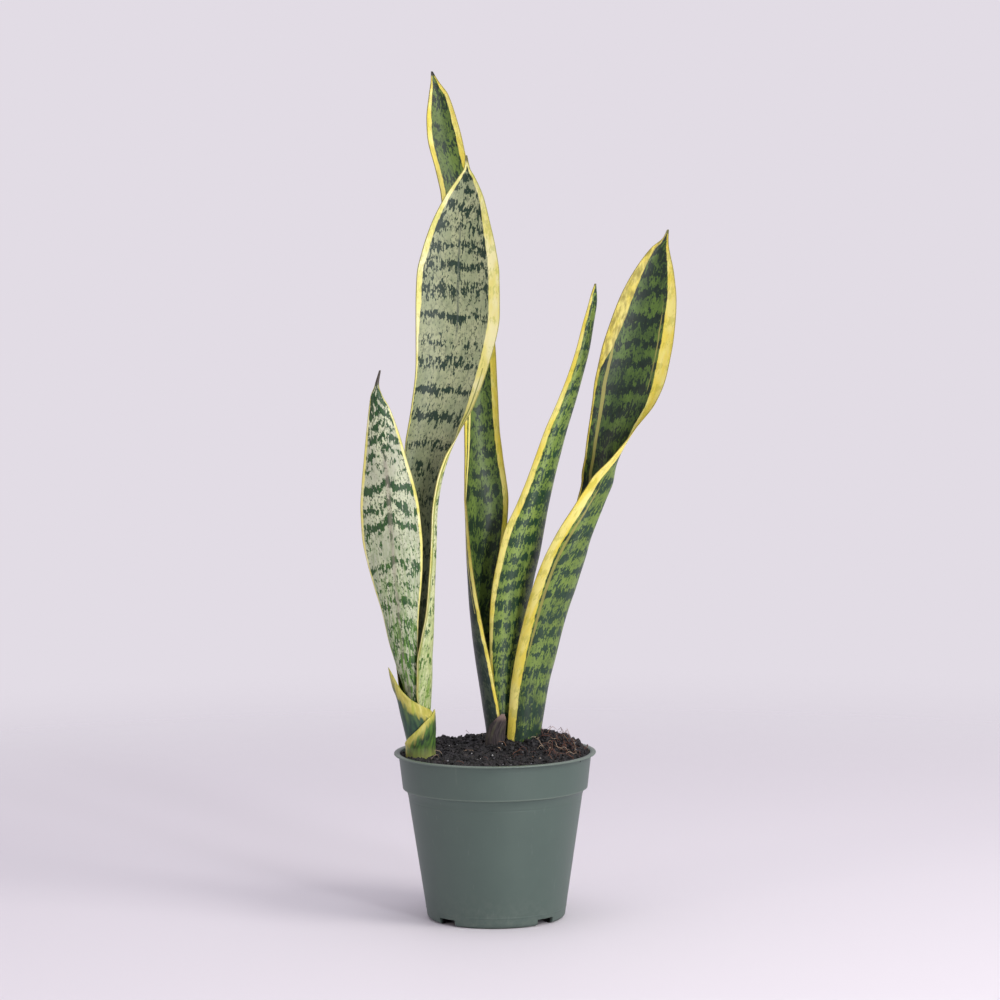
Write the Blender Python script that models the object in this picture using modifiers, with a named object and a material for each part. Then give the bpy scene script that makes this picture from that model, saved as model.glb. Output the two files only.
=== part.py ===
"""A potted snake plant: a moulded nursery pot, its potting mix, and a plant of two shoots on one rhizome.

Metres, +Z up. The origin is the centre of the pot's underside, and -Y faces the front.
Sizes below are in millimetres and degrees, and MM turns them to metres where the meshes are made.
"""

import math

import bmesh
import bpy
import numpy as np
from mathutils import Matrix

MM = 0.001
GAP = 0.3  # clearance between two pieces that meet

# Pot: thin wall, tapered body, wider band under a thin flat lip
POT_HEIGHT = 129.7
WALL = 1.2
FOOT_RADIUS = 54.0  # outside, at the top of the foot's rounding
FOOT_ROUNDING = 3.6
TAPER = 0.15  # growth of the outside radius for each millimetre of height
BAND_HEIGHT = 27.7  # from the lip's top down to the band's lower edge
BAND_STEP = 3.2  # how far the band stands out from the body below it
SHOULDER_HEIGHT = 6.5
BAND_TAPER = 0.117
LIP_REACH = 3.4
LIP_THICKNESS = 1.5
FLOOR_RAISE = 2.4  # underside of the floor above the ground, inside the foot ring
FOOT_RING = 6.0
FOOT_FLARE = 1.2  # slope inwards of the foot ring's and the pad's sides
FLOOR_FILLET = 1.9  # inside, where floor and wall meet
PAD_RADIUS = 12.0  # flat moulding pad in the middle of the underside
POT_SIDES = 48

# Drain notches in the foot, on the diagonals
NOTCH_COUNT = 4
NOTCH_WIDTH = 16.4
NOTCH_HEIGHT = 5.3
NOTCH_DEPTH = 11.0
NOTCH_ROUNDING = 1.5
NOTCH_OVERRUN = 4.0  # how far a cutter stands out past the foot

# Potting mix: nearly level with the lip, heaped round the larger shoot
SOIL_DROP = 2.6  # below the lip, at the wall
HEAP_RISE = 15.0
HEAP_CENTRE = (25.0, 28.0)
HEAP_REACH = (41.0, 26.0)
HEAP_EDGE = 4.0  # how steeply the heap falls to the wall
SOIL_RINGS = (0.0, 0.2, 0.4, 0.57, 0.72, 0.85, 0.94, 1.0)  # across the top, as shares of its radius

# Leaves and sheaths
LEAF_THICKNESS = 1.6
SHEATH_THICKNESS = 1.1
MARGIN_SHARE = 0.5  # a margin's thickness as a share of the middle's
COLUMNS = 9  # points across one face
LONGEST_STRETCH = 32.0  # between two rings of a blade

# Shoot wells in the soil, and the rhizome that joins the shoots
BASE_DEPTH = 26.7  # from the lip's top down to where the leaf bases meet the rhizome
BASE_LEVEL = POT_HEIGHT - BASE_DEPTH
LEFT_INSET = 17.5  # from the pot's inside at the rim to the left shoot's middle
LEFT_ASIDE = -7.5  # the left shoot's middle in y
LEFT_LEAN = (-2.2, -0.6)  # how the shoot's middle moves from its base to the soil's top
LEFT_WELL = (12.0, 12.6)  # radius at the base and at the soil's top
RIGHT_SHOOT = (12.0, 23.5)
RIGHT_WELL = (27.0, 18.5)  # half length and half width of the oval well
WELL_SIDES = 32
LEFT_STUB = (8.6, 8.6)  # half widths of the stems that carry the leaf bases
RIGHT_STUB = (16.5, 9.5)
STUB_TAPER = 0.8
RHIZOME_RADIUS = 8.0
RHIZOME_DEPTH = 12.0  # its middle below the leaf bases
ROOT_RADIUS = 2.2
ROOT_TIP_SHARE = 0.5

# Where the tables of stations and roots below draw the plant. Functions move it to the sizes above
DRAWN_LEVEL = 103.0
DRAWN_LEFT_SHOOT = (-56.5, -7.5)
DRAWN_RIGHT_SHOOT = (12.0, 23.5)
DRAWN_INSIDE = 74.0  # the pot's inside radius at the rim that ROOTS are drawn for

# Stations of a blade, from its base to its tip. Each is one level section, an arc of a channel:
# (height, x and y of the midrib, heading that the channel opens to, half width, depth, wrap).
# Heading 0 is +X and -90 is the front. Wrap is the arc's whole angle.
LEFT_TALL_LEAF = [
    (103.0, -52.5, -1.8, -125, 7.0, 11.0, 250),
    (135.0, -53.7, -2.0, -125, 7.2, 11.3, 250),
    (142.0, -53.8, -1.5, -126, 7.9, 12.5, 252),
    (150.0, -53.9, -0.7, -127, 8.9, 14.3, 255),
    (161.0, -54.1, 0.0, -129, 10.0, 16.4, 260),
    (169.0, -54.0, 0.4, -131, 11.4, 17.7, 264),
    (180.0, -53.8, 0.8, -134, 13.4, 18.8, 270),
    (200.0, -54.5, 1.8, -135, 16.2, 18.8, 268),
    (220.0, -56.8, 2.6, -126, 18.0, 18.0, 260),
    (240.0, -58.7, 3.0, -119, 19.2, 16.5, 242),
    (260.0, -58.9, 3.2, -116, 19.0, 15.0, 234),
    (280.0, -57.7, 3.4, -115, 18.2, 14.2, 230),
    (300.0, -56.1, 3.4, -115, 17.3, 13.8, 230),
    (320.0, -54.9, 3.2, -115, 17.0, 13.5, 230),
    (340.0, -52.0, 3.0, -115, 17.2, 13.5, 228),
    (360.0, -47.6, 2.8, -113, 18.0, 13.0, 220),
    (380.0, -42.8, 2.8, -104, 20.4, 11.0, 170),
    (400.0, -37.0, 3.0, -96, 24.0, 9.0, 128),
    (430.0, -30.3, 3.0, -92, 28.0, 8.0, 95),
    (470.0, -26.0, 3.5, -90, 32.2, 7.5, 75),
    (500.0, -25.4, 4.0, -90, 31.8, 7.0, 70),
    (520.0, -24.4, 4.5, -90, 28.2, 6.0, 68),
    (540.0, -22.9, 5.0, -90, 22.5, 4.8, 68),
    (560.0, -20.2, 5.5, -90, 14.8, 3.2, 66),
    (576.0, -18.2, 6.0, -90, 5.8, 1.4, 60),
    (582.0, -17.9, 6.0, -90, 2.2, 0.7, 50),
    (592.0, -18.4, 6.0, -90, 0.7, 0.2, 40),
]
LEFT_SHORT_LEAF = [
    (103.0, -58.9, -10.4, 52, 4.8, 4.0, 150),
    (135.0, -59.9, -11.0, 52, 5.2, 4.2, 150),
    (160.0, -63.8, -13.6, 56, 7.2, 5.0, 130),
    (180.0, -65.6, -14.6, 62, 8.0, 5.0, 115),
    (200.0, -69.0, -16.0, 70, 9.4, 5.0, 100),
    (220.0, -71.6, -17.5, 76, 11.8, 5.2, 92),
    (240.0, -73.0, -19.0, 80, 14.3, 5.5, 85),
    (260.0, -74.6, -20.5, 83, 18.2, 6.2, 80),
    (280.0, -76.4, -22.0, 86, 21.3, 6.6, 76),
    (300.0, -78.0, -23.5, 88, 22.9, 6.8, 74),
    (320.0, -79.1, -25.0, 90, 22.5, 6.4, 72),
    (340.0, -80.4, -26.0, 90, 20.1, 5.6, 70),
    (360.0, -82.2, -27.0, 90, 16.3, 4.5, 70),
    (380.0, -84.0, -28.0, 90, 12.4, 3.4, 70),
    (400.0, -86.4, -28.5, 90, 7.6, 2.2, 70),
    (411.0, -88.4, -28.5, 90, 3.6, 1.2, 64),
    (417.0, -88.0, -28.5, 90, 1.6, 0.6, 50),
    (428.6, -85.4, -28.5, 90, 0.6, 0.2, 40),
]
BACK_TALL_LEAF = [
    (103.0, -4.0, 26.5, 0, 9.0, 9.0, 190),
    (140.0, -6.0, 26.5, 0, 10.8, 11.3, 200),
    (160.0, -8.7, 26.5, -1, 11.5, 12.2, 200),
    (180.0, -11.4, 26.5, -6, 12.5, 12.5, 200),
    (200.0, -14.0, 27.0, -12, 13.5, 13.5, 198),
    (220.0, -15.6, 28.5, -20, 14.5, 13.5, 195),
    (240.0, -16.2, 30.5, -28, 15.5, 13.5, 192),
    (260.0, -15.3, 33.0, -38, 16.5, 13.5, 190),
    (280.0, -14.0, 35.0, -46, 17.5, 13.3, 186),
    (300.0, -11.9, 37.0, -54, 18.4, 12.8, 182),
    (320.0, -10.4, 38.5, -60, 18.8, 11.8, 178),
    (340.0, -9.4, 39.5, -68, 16.8, 10.0, 165),
    (360.0, -9.4, 40.5, -75, 14.8, 8.5, 150),
    (400.0, -10.0, 42.0, -80, 13.5, 7.0, 130),
    (440.0, -12.2, 43.5, -80, 14.0, 6.5, 115),
    (500.0, -19.7, 46.0, -80, 15.0, 6.0, 100),
    (560.0, -25.8, 48.5, -80, 13.8, 5.0, 90),
    (580.0, -30.0, 49.5, -80, 13.6, 4.6, 85),
    (600.0, -35.0, 50.5, -80, 13.4, 4.3, 82),
    (620.0, -38.1, 51.5, -80, 11.7, 3.8, 80),
    (640.0, -40.3, 52.5, -80, 7.3, 2.6, 76),
    (650.0, -43.0, 53.0, -80, 3.0, 1.2, 66),
    (658.0, -45.1, 53.0, -80, 0.6, 0.2, 40),
]
MIDDLE_NARROW_LEAF = [
    (103.0, 8.5, 20.5, 130, 5.0, 3.0, 150),
    (140.0, 9.8, 19.8, 130, 6.5, 4.0, 150),
    (160.0, 10.6, 20.0, 130, 9.0, 5.4, 150),
    (180.0, 11.8, 20.8, 130, 12.0, 7.2, 150),
    (200.0, 13.6, 21.5, 130, 14.6, 8.8, 150),
    (220.0, 16.2, 22.0, 130, 17.0, 10.2, 150),
    (240.0, 19.0, 22.0, 130, 18.8, 11.3, 150),
    (260.0, 22.6, 22.0, 130, 20.0, 12.0, 150),
    (280.0, 27.2, 21.5, 130, 20.4, 12.2, 150),
    (300.0, 31.3, 21.5, 130, 19.4, 11.7, 150),
    (320.0, 36.6, 22.0, 130, 16.0, 9.6, 150),
    (340.0, 42.0, 22.5, 130, 13.4, 8.0, 150),
    (360.0, 47.8, 23.5, 130, 11.9, 7.1, 150),
    (380.0, 54.1, 24.5, 130, 10.6, 6.4, 150),
    (400.0, 61.0, 26.0, 130, 8.8, 5.3, 150),
    (420.0, 67.3, 27.3, 130, 7.4, 4.4, 148),
    (440.0, 72.9, 28.5, 130, 6.2, 3.7, 145),
    (460.0, 77.0, 29.5, 130, 5.2, 3.0, 140),
    (480.0, 80.6, 30.5, 130, 3.4, 1.9, 130),
    (492.0, 81.3, 31.0, 130, 0.7, 0.3, 90),
]
RIGHT_TWISTED_LEAF = [
    (103.0, 22.5, 13.5, 125, 11.0, 9.0, 180),
    (140.0, 28.6, 12.0, 125, 14.4, 12.0, 180),
    (160.0, 31.4, 11.5, 125, 15.6, 12.8, 180),
    (180.0, 34.5, 11.0, 125, 16.6, 13.6, 180),
    (200.0, 39.0, 10.0, 125, 17.8, 14.0, 180),
    (220.0, 44.2, 9.0, 126, 18.3, 15.0, 180),
    (240.0, 50.2, 8.0, 128, 19.4, 15.5, 180),
    (260.0, 58.2, 7.5, 134, 20.8, 17.0, 180),
    (280.0, 67.5, 7.5, 142, 20.0, 20.0, 180),
    (300.0, 77.0, 8.5, 160, 15.5, 23.5, 180),
    (325.0, 87.5, 12.0, 178, 14.0, 21.5, 180),
    (340.0, 93.0, 15.0, 190, 15.5, 21.0, 180),
    (360.0, 94.6, 17.0, 216, 18.0, 14.5, 178),
    (380.0, 98.4, 17.5, 238, 20.6, 11.0, 150),
    (400.0, 104.6, 17.5, 253, 25.4, 9.0, 115),
    (420.0, 108.7, 17.0, 262, 27.4, 8.0, 95),
    (440.0, 112.6, 16.5, 266, 27.3, 7.5, 85),
    (460.0, 116.9, 16.0, 267, 25.2, 7.0, 80),
    (480.0, 121.2, 15.5, 268, 21.9, 6.0, 78),
    (500.0, 125.4, 15.0, 268, 15.8, 4.4, 76),
    (520.0, 131.0, 14.5, 268, 6.6, 2.2, 72),
    (527.0, 135.2, 14.5, 268, 2.2, 0.8, 60),
    (533.7, 137.1, 14.5, 268, 0.6, 0.2, 40),
]
# The two green sheaths clasp the left shoot one over the other, and end in opposite tips.
LEFT_INNER_SHEATH = [
    (103.0, -65.3, -9.8, 15, 9.2, 17.8, 320),
    (135.0, -66.9, -10.3, 15, 9.4, 18.2, 320),
    (142.0, -68.2, -10.4, 15, 10.1, 19.6, 320),
    (150.0, -69.9, -10.6, 15, 11.1, 21.5, 318),
    (161.0, -72.4, -10.9, 15, 12.6, 24.2, 316),
    (163.0, -72.8, -10.9, 15, 13.0, 23.0, 290),
    (165.0, -73.2, -10.9, 15, 13.2, 21.2, 255),
    (169.0, -74.0, -10.9, 15, 13.4, 14.2, 186),
    (175.0, -75.4, -11.6, 18, 11.6, 5.9, 108),
    (181.0, -77.9, -10.4, 20, 8.0, 3.0, 80),
    (190.0, -80.2, -10.2, 20, 4.2, 1.3, 60),
    (197.3, -82.0, -10.2, 20, 0.8, 0.2, 30),
]
LEFT_OUTER_SHEATH = [
    (103.0, -46.0, -10.2, 165, 11.1, 21.2, 320),
    (135.0, -47.0, -10.7, 165, 11.4, 21.7, 316),
    (138.0, -46.8, -10.5, 167, 12.0, 21.6, 286),
    (142.0, -46.6, -9.9, 170, 12.7, 19.6, 250),
    (146.0, -46.2, -9.3, 173, 13.2, 16.4, 212),
    (150.0, -46.0, -8.7, 176, 13.5, 12.8, 175),
    (157.0, -46.2, -8.3, 178, 11.9, 6.4, 116),
    (161.0, -46.4, -8.3, 179, 6.0, 1.8, 64),
    (164.3, -46.5, -8.3, 180, 0.9, 0.3, 40),
]
RIGHT_DRY_SHEATH = [
    (112.0, 1.5, 11.2, 90, 6.4, 2.2, 90),
    (137.0, 0.0, 10.4, 90, 7.8, 2.8, 90),
    (147.0, 2.0, 9.8, 92, 6.6, 2.2, 88),
    (153.0, 4.6, 9.6, 94, 4.2, 1.3, 80),
    (157.4, 6.4, 9.6, 95, 1.2, 0.3, 60),
]

# Main roots: (start as a share of the rhizome's length, points below it)
ROOTS = [
    (0.04, [(-50.0, -20.0, 66.0), (-40.0, -30.0, 36.0), (-24.0, -34.0, 14.0)]),
    (0.12, [(-52.0, 10.0, 68.0), (-44.0, 22.0, 40.0), (-36.0, 26.0, 16.0)]),
    (0.40, [(-20.0, -14.0, 62.0), (-14.0, -24.0, 34.0), (-2.0, -40.0, 12.0)]),
    (0.62, [(2.0, 34.0, 64.0), (-6.0, 40.0, 38.0), (-12.0, 44.0, 14.0)]),
    (0.80, [(24.0, -2.0, 66.0), (30.0, -16.0, 38.0), (34.0, -30.0, 14.0)]),
    (0.97, [(40.0, 28.0, 66.0), (40.0, 24.0, 36.0), (44.0, 10.0, 12.0)]),
]


def start_scene(name):
    """An empty scene with a collection for the parts and one for the cutters."""
    for obj in list(bpy.data.objects):
        bpy.data.objects.remove(obj, do_unlink=True)
    made = []
    for label in (name, "cutters"):
        collection = bpy.data.collections.new(label)
        bpy.context.scene.collection.children.link(collection)
        made.append(collection)
    made[1].hide_render = True
    return made


def finish_of(name, colour, roughness):
    """A plain Principled material of the part's colour."""
    material = bpy.data.materials.new(name)
    material.use_nodes = True
    shader = material.node_tree.nodes["Principled BSDF"]
    shader.inputs["Base Color"].default_value = (*colour, 1.0)
    shader.inputs["Roughness"].default_value = roughness
    return material


def add_object(name, mesh, collection, material=None):
    obj = bpy.data.objects.new(name, mesh)
    collection.objects.link(obj)
    if material:
        mesh.materials.append(material)
    return obj


def hide_cutter(obj):
    obj.hide_render = True
    obj.display_type = "WIRE"


def close_normals(mesh):
    """Merges doubled points and turns every face outwards."""
    made = bmesh.new()
    made.from_mesh(mesh)
    bmesh.ops.remove_doubles(made, verts=made.verts, dist=1e-6)
    bmesh.ops.recalc_face_normals(made, faces=made.faces)
    made.to_mesh(mesh)
    made.free()


def boolean(obj, other, operation, solver="EXACT"):
    modifier = obj.modifiers.new(operation.lower(), "BOOLEAN")
    modifier.operation = operation
    modifier.object = other
    modifier.solver = solver


def settled(obj):
    """The object with its modifiers applied."""
    graph = bpy.context.evaluated_depsgraph_get()
    mesh = bpy.data.meshes.new_from_object(obj.evaluated_get(graph))
    obj.modifiers.clear()
    obj.data = mesh
    return obj


def turned(name, profile, sides, collection, material=None):
    """A profile of (radius, height) points, from the axis over the top and down the outside, turned about Z."""
    mesh = bpy.data.meshes.new(name)
    points = [(radius * MM, 0.0, height * MM) for radius, height in profile]
    mesh.from_pydata(points, [(i, i + 1) for i in range(len(points) - 1)], [])
    obj = add_object(name, mesh, collection, material)
    screw = obj.modifiers.new("turn", "SCREW")
    screw.steps = screw.render_steps = sides
    screw.use_merge_vertices = True
    screw.merge_threshold = 0.00002
    screw.use_smooth_shade = True
    return obj


def outer_radius(height):
    """The outside of the pot's body below the shoulder."""
    return FOOT_RADIUS + TAPER * (height - FOOT_ROUNDING)


def band_radius(height):
    """The outside of the band above the shoulder."""
    start = POT_HEIGHT - BAND_HEIGHT
    return outer_radius(start) + BAND_STEP + BAND_TAPER * (height - start)


def left_shoot():
    """The middle of the left shoot's base, which keeps its distance from the pot's wall."""
    return (LEFT_INSET - (band_radius(POT_HEIGHT) - WALL), LEFT_ASIDE)


def arc_points(centre, radius, start, end, steps):
    """Points along a round, with the angles in degrees."""
    angles = [math.radians(start + (end - start) * i / steps) for i in range(steps + 1)]
    return [(centre[0] + radius * math.cos(a), centre[1] + radius * math.sin(a)) for a in angles]


def shoulder_points(inset):
    """The rounded step between body and band, from the band down, moved in by inset."""
    top = POT_HEIGHT - BAND_HEIGHT
    foot = top - SHOULDER_HEIGHT
    upper, lower = band_radius(top) - inset, outer_radius(foot) - inset
    rise = SHOULDER_HEIGHT
    return [
        (upper, top),
        (upper - 0.25 * (upper - lower), top - 0.3 * rise),
        (lower + 0.35 * (upper - lower), top - 0.52 * rise),
        (lower + 0.06 * (upper - lower), top - 0.74 * rise),
        (lower, foot),
    ]


def pot_profile():
    """Inside from the middle of the floor up, over the lip, down the outside and back under the foot."""
    floor_top = FLOOR_RAISE + WALL
    lip_under = POT_HEIGHT - LIP_THICKNESS
    inside = [(0.0, floor_top), (outer_radius(floor_top) - WALL - FLOOR_FILLET, floor_top)]
    inside.append((outer_radius(floor_top + FLOOR_FILLET) - WALL, floor_top + FLOOR_FILLET))
    inside += [(radius, height) for radius, height in reversed(shoulder_points(WALL))]
    lip_inner = band_radius(POT_HEIGHT) - WALL
    lip_outer = band_radius(POT_HEIGHT) + LIP_REACH
    lip = [
        (lip_inner - 0.3, lip_under - 0.8),
        (lip_inner + 0.2, POT_HEIGHT - 0.35),
        (lip_inner + 0.8, POT_HEIGHT),
        (lip_outer - 0.7, POT_HEIGHT - 0.15),
        (lip_outer, POT_HEIGHT - 0.75),
        (lip_outer - 0.4, lip_under),
        (band_radius(lip_under) + 0.6, lip_under - 0.25),
        (band_radius(lip_under - 1.2), lip_under - 1.2),
    ]
    outside = shoulder_points(0.0)
    outside.append((outer_radius(FOOT_ROUNDING), FOOT_ROUNDING))
    centre = (outer_radius(FOOT_ROUNDING) - FOOT_ROUNDING, FOOT_ROUNDING)
    outside += arc_points(centre, FOOT_ROUNDING, 0, -90, 4)[1:]
    ring_inner = outer_radius(FOOT_ROUNDING) - FOOT_RING
    under = [
        (ring_inner, 0.0),
        (ring_inner - FOOT_FLARE, FLOOR_RAISE),
        (PAD_RADIUS + FOOT_FLARE, FLOOR_RAISE),
        (PAD_RADIUS, 0.0),
        (0.0, 0.0),
    ]
    return inside + lip + outside + under


def drain_notch(turn, collection):
    """A round-cornered block across the foot at one diagonal."""
    bpy.ops.mesh.primitive_cube_add(size=1.0)
    cutter = bpy.context.active_object
    cutter.name = f"notch_cutter_{turn:.0f}"
    for holder in list(cutter.users_collection):
        holder.objects.unlink(cutter)
    collection.objects.link(cutter)
    outer = FOOT_RADIUS + NOTCH_OVERRUN
    size = (NOTCH_DEPTH + NOTCH_OVERRUN, NOTCH_WIDTH, 2 * NOTCH_HEIGHT)
    scale = Matrix.Diagonal((*[side * MM for side in size], 1.0))
    place = Matrix.Translation(((outer - size[0] / 2) * MM, 0.0, 0.0))
    cutter.data.transform(Matrix.Rotation(math.radians(turn), 4, "Z") @ place @ scale)
    bevel = cutter.modifiers.new("round", "BEVEL")
    bevel.width = NOTCH_ROUNDING * MM
    bevel.segments = 2
    hide_cutter(cutter)
    return cutter


def build_pot(parts, cutters):
    plastic = finish_of("pot_plastic", (0.045, 0.075, 0.065), 0.42)
    pot = settled(turned("pot", pot_profile(), POT_SIDES, parts, plastic))
    close_normals(pot.data)
    for index in range(NOTCH_COUNT):
        turn = 45.0 + index * 360.0 / NOTCH_COUNT
        boolean(pot, drain_notch(turn, cutters), "DIFFERENCE", "MANIFOLD")
    return pot


def soil_level(x, y):
    """Height of the soil's top: level at the wall, with one smooth heap."""
    across = ((x - HEAP_CENTRE[0]) / HEAP_REACH[0]) ** 2
    along = ((y - HEAP_CENTRE[1]) / HEAP_REACH[1]) ** 2
    wall = band_radius(POT_HEIGHT) - WALL
    fade = np.clip((1.0 - (np.hypot(x, y) / wall) ** 4) * HEAP_EDGE, 0.0, 1.0)
    return POT_HEIGHT - SOIL_DROP + HEAP_RISE * fade * np.exp(-(across + along))


def soil_profile():
    """The inside of the pot less the clearance, with rings across the top for the heap."""
    floor = FLOOR_RAISE + WALL + GAP
    top = POT_HEIGHT - SOIL_DROP
    inset = WALL + GAP
    wall = band_radius(top) - inset
    rings = [(wall * share, top) for share in SOIL_RINGS]
    side = shoulder_points(inset)
    side.append((outer_radius(floor + FLOOR_FILLET) - inset, floor + FLOOR_FILLET))
    side.append((outer_radius(floor) - inset - FLOOR_FILLET, floor))
    return rings + side + [(0.0, floor)]


def root_system_pieces(extra, collection):
    """Rhizome, two stem stubs and the main roots, each grown outwards by extra."""
    level = BASE_LEVEL - RHIZOME_DEPTH
    left = left_shoot()
    middle = [
        (left[0] - 2.0, left[1] - 1.0, level),
        (left[0] + 16.0, left[1] + 5.0, level - 3.0),
        (-18.0, 12.0, level - 4.0),
        (RIGHT_SHOOT[0] - 4.0, RIGHT_SHOOT[1] - 1.0, level),
        (RIGHT_SHOOT[0] + 22.0, RIGHT_SHOOT[1] + 4.0, level - 4.0),
    ]
    path = catmull(np.array(middle), 16)
    pieces = [tube("rhizome_core", path, RHIZOME_RADIUS, 1.0, 3, collection, extra)]
    spread = (band_radius(POT_HEIGHT) - WALL) / DRAWN_INSIDE
    for share, points in ROOTS:
        start = path[int(round(share * (len(path) - 1)))]
        drawn = np.array(points) + (0.0, 0.0, BASE_LEVEL - DRAWN_LEVEL)
        route = catmull(np.vstack([start, drawn * (spread, spread, 1.0)]), 10)
        pieces.append(tube("root", route, ROOT_RADIUS, ROOT_TIP_SHARE, 1, collection, extra))
    for shoot, size in ((left, LEFT_STUB), (RIGHT_SHOOT, RIGHT_STUB)):
        pieces.append(stem_stub(shoot, size, extra, collection))
    return pieces


def catmull(points, count):
    """A smooth path through the points: each stretch is a cubic whose ends lean along their neighbours."""
    ends = np.vstack([2 * points[0] - points[1], points, 2 * points[-1] - points[-2]])
    t = np.linspace(0.0, len(points) - 1 - 1e-9, count)
    i = t.astype(int)
    f = (t - i)[:, None]
    a, b, c, d = ends[i], ends[i + 1], ends[i + 2], ends[i + 3]
    return 0.5 * (2 * b + (c - a) * f + (2 * a - 5 * b + 4 * c - d) * f**2 + (3 * b - a - 3 * c + d) * f**3)


def tube(name, path, radius, tip_share, resolution, collection, extra):
    """A round tube along a path, thinner towards its end and grown outwards by extra, as a closed mesh."""
    first, last = path[0] - path[1], path[-1] - path[-2]
    start = path[0] + first / np.linalg.norm(first) * extra
    end = path[-1] + last / np.linalg.norm(last) * extra
    path = np.vstack([start, path[1:-1], end])
    curve = bpy.data.curves.new(name, "CURVE")
    curve.dimensions = "3D"
    curve.bevel_depth = MM
    curve.bevel_resolution = resolution
    curve.use_fill_caps = True
    spline = curve.splines.new("POLY")
    spline.points.add(len(path) - 1)
    shares = np.linspace(1.0, tip_share, len(path))
    for point, place, share in zip(spline.points, path, shares):
        point.co = (*(place * MM), 1.0)
        point.radius = radius * share + extra
    holder = bpy.data.objects.new(name, curve)
    collection.objects.link(holder)
    graph = bpy.context.evaluated_depsgraph_get()
    mesh = bpy.data.meshes.new_from_object(holder.evaluated_get(graph))
    bpy.data.objects.remove(holder, do_unlink=True)
    close_normals(mesh)
    return add_object(name, mesh, collection)


def stem_stub(shoot, size, extra, collection):
    """The short oval stem that a shoot's leaves grow from."""
    made = bmesh.new()
    low = BASE_LEVEL - RHIZOME_DEPTH - extra
    high = BASE_LEVEL - GAP + extra
    bmesh.ops.create_cone(
        made, cap_ends=True, segments=24, radius1=STUB_TAPER, radius2=1.0, depth=1.0,
        matrix=Matrix.Translation((shoot[0] * MM, shoot[1] * MM, (low + high) / 2 * MM))
        @ Matrix.Diagonal(((size[0] + extra) * MM, (size[1] + extra) * MM, (high - low) * MM, 1.0)),
    )
    mesh = bpy.data.meshes.new("stem_stub")
    made.to_mesh(mesh)
    made.free()
    return add_object("stem_stub", mesh, collection)


def joined(name, pieces, collection, material=None):
    """One body from overlapping closed pieces."""
    mesh = pieces[0].data.copy()
    obj = add_object(name, mesh, collection, material)
    for piece in pieces[1:]:
        boolean(obj, piece, "UNION")
    settled(obj)
    for piece in pieces:
        bpy.data.objects.remove(piece, do_unlink=True)
    if material and not obj.data.materials:
        obj.data.materials.append(material)
    return obj


def shoot_well(name, base, top, size_base, size_top, collection):
    """The space that a shoot fills in the soil: an oval cone from the leaf bases up."""
    angles = np.linspace(0.0, 2 * math.pi, WELL_SIDES, endpoint=False)
    low, high = BASE_LEVEL - 2 * GAP, POT_HEIGHT + HEAP_RISE + 6.0
    rings = []
    for centre, size, height in ((base, size_base, low), (top, size_top, high)):
        rings.append(
            np.column_stack(
                [
                    centre[0] + size[0] * np.cos(angles),
                    centre[1] + size[1] * np.sin(angles),
                    np.full(WELL_SIDES, height),
                ]
            )
        )
    obj = loft(name, np.array(rings), collection)
    hide_cutter(obj)
    return obj


def build_soil(parts, cutters):
    mix = finish_of("potting_mix", (0.012, 0.009, 0.008), 0.95)
    soil = settled(turned("soil", soil_profile(), POT_SIDES, parts, mix))
    top = (POT_HEIGHT - SOIL_DROP) * MM
    for vertex in soil.data.vertices:
        if vertex.co.z > top - 1e-5:
            vertex.co.z = float(soil_level(vertex.co.x / MM, vertex.co.y / MM)) * MM
    close_normals(soil.data)
    base = left_shoot()
    top_middle = (base[0] + LEFT_LEAN[0], base[1] + LEFT_LEAN[1])
    left = shoot_well("left_well", base, top_middle, [LEFT_WELL[0]] * 2, [LEFT_WELL[1]] * 2, cutters)
    right = shoot_well("right_well", RIGHT_SHOOT, RIGHT_SHOOT, RIGHT_WELL, RIGHT_WELL, cutters)
    roots = joined("root_space", root_system_pieces(GAP, cutters), cutters)
    hide_cutter(roots)
    for cutter in (left, right, roots):
        boolean(soil, cutter, "DIFFERENCE", "MANIFOLD")
    return soil


def build_rhizome(parts, cutters):
    flesh = finish_of("rhizome_flesh", (0.55, 0.33, 0.12), 0.6)
    return joined("rhizome", root_system_pieces(0.0, cutters), parts, flesh)


def slopes(x, y):
    """Slopes at the stations that never make the curve between them overshoot."""
    step = np.diff(x)[:, None]
    rate = np.diff(y, axis=0) / step
    before, after = rate[:-1], rate[1:]
    same = before * after > 0
    safe = np.where(same, before + after, 1.0)
    inner = np.where(same, 2 * before * after / safe, 0.0)
    return np.vstack([rate[:1], inner, rate[-1:]])


def smooth_through(stations, heights):
    """The stations' values at the heights, by cubics that pass through every station."""
    x, y = stations[:, 0], stations[:, 1:]
    m = slopes(x, y)
    i = np.clip(np.searchsorted(x, heights, side="right") - 1, 0, len(x) - 2)
    step = (x[i + 1] - x[i])[:, None]
    t = ((heights - x[i]) / (x[i + 1] - x[i]))[:, None]
    start = (1 + 2 * t) * (1 - t) ** 2 * y[i] + t * (1 - t) ** 2 * step * m[i]
    return start + t**2 * (3 - 2 * t) * y[i + 1] + t**2 * (t - 1) * step * m[i + 1]


def ring_heights(stations):
    """The stations' own heights, with any stretch longer than LONGEST_STRETCH split evenly."""
    heights = [stations[0, 0]]
    for low, high in zip(stations[:-1, 0], stations[1:, 0]):
        pieces = math.ceil((high - low) / LONGEST_STRETCH)
        heights += [low + (high - low) * (piece + 1) / pieces for piece in range(pieces)]
    return np.array(heights)


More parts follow.
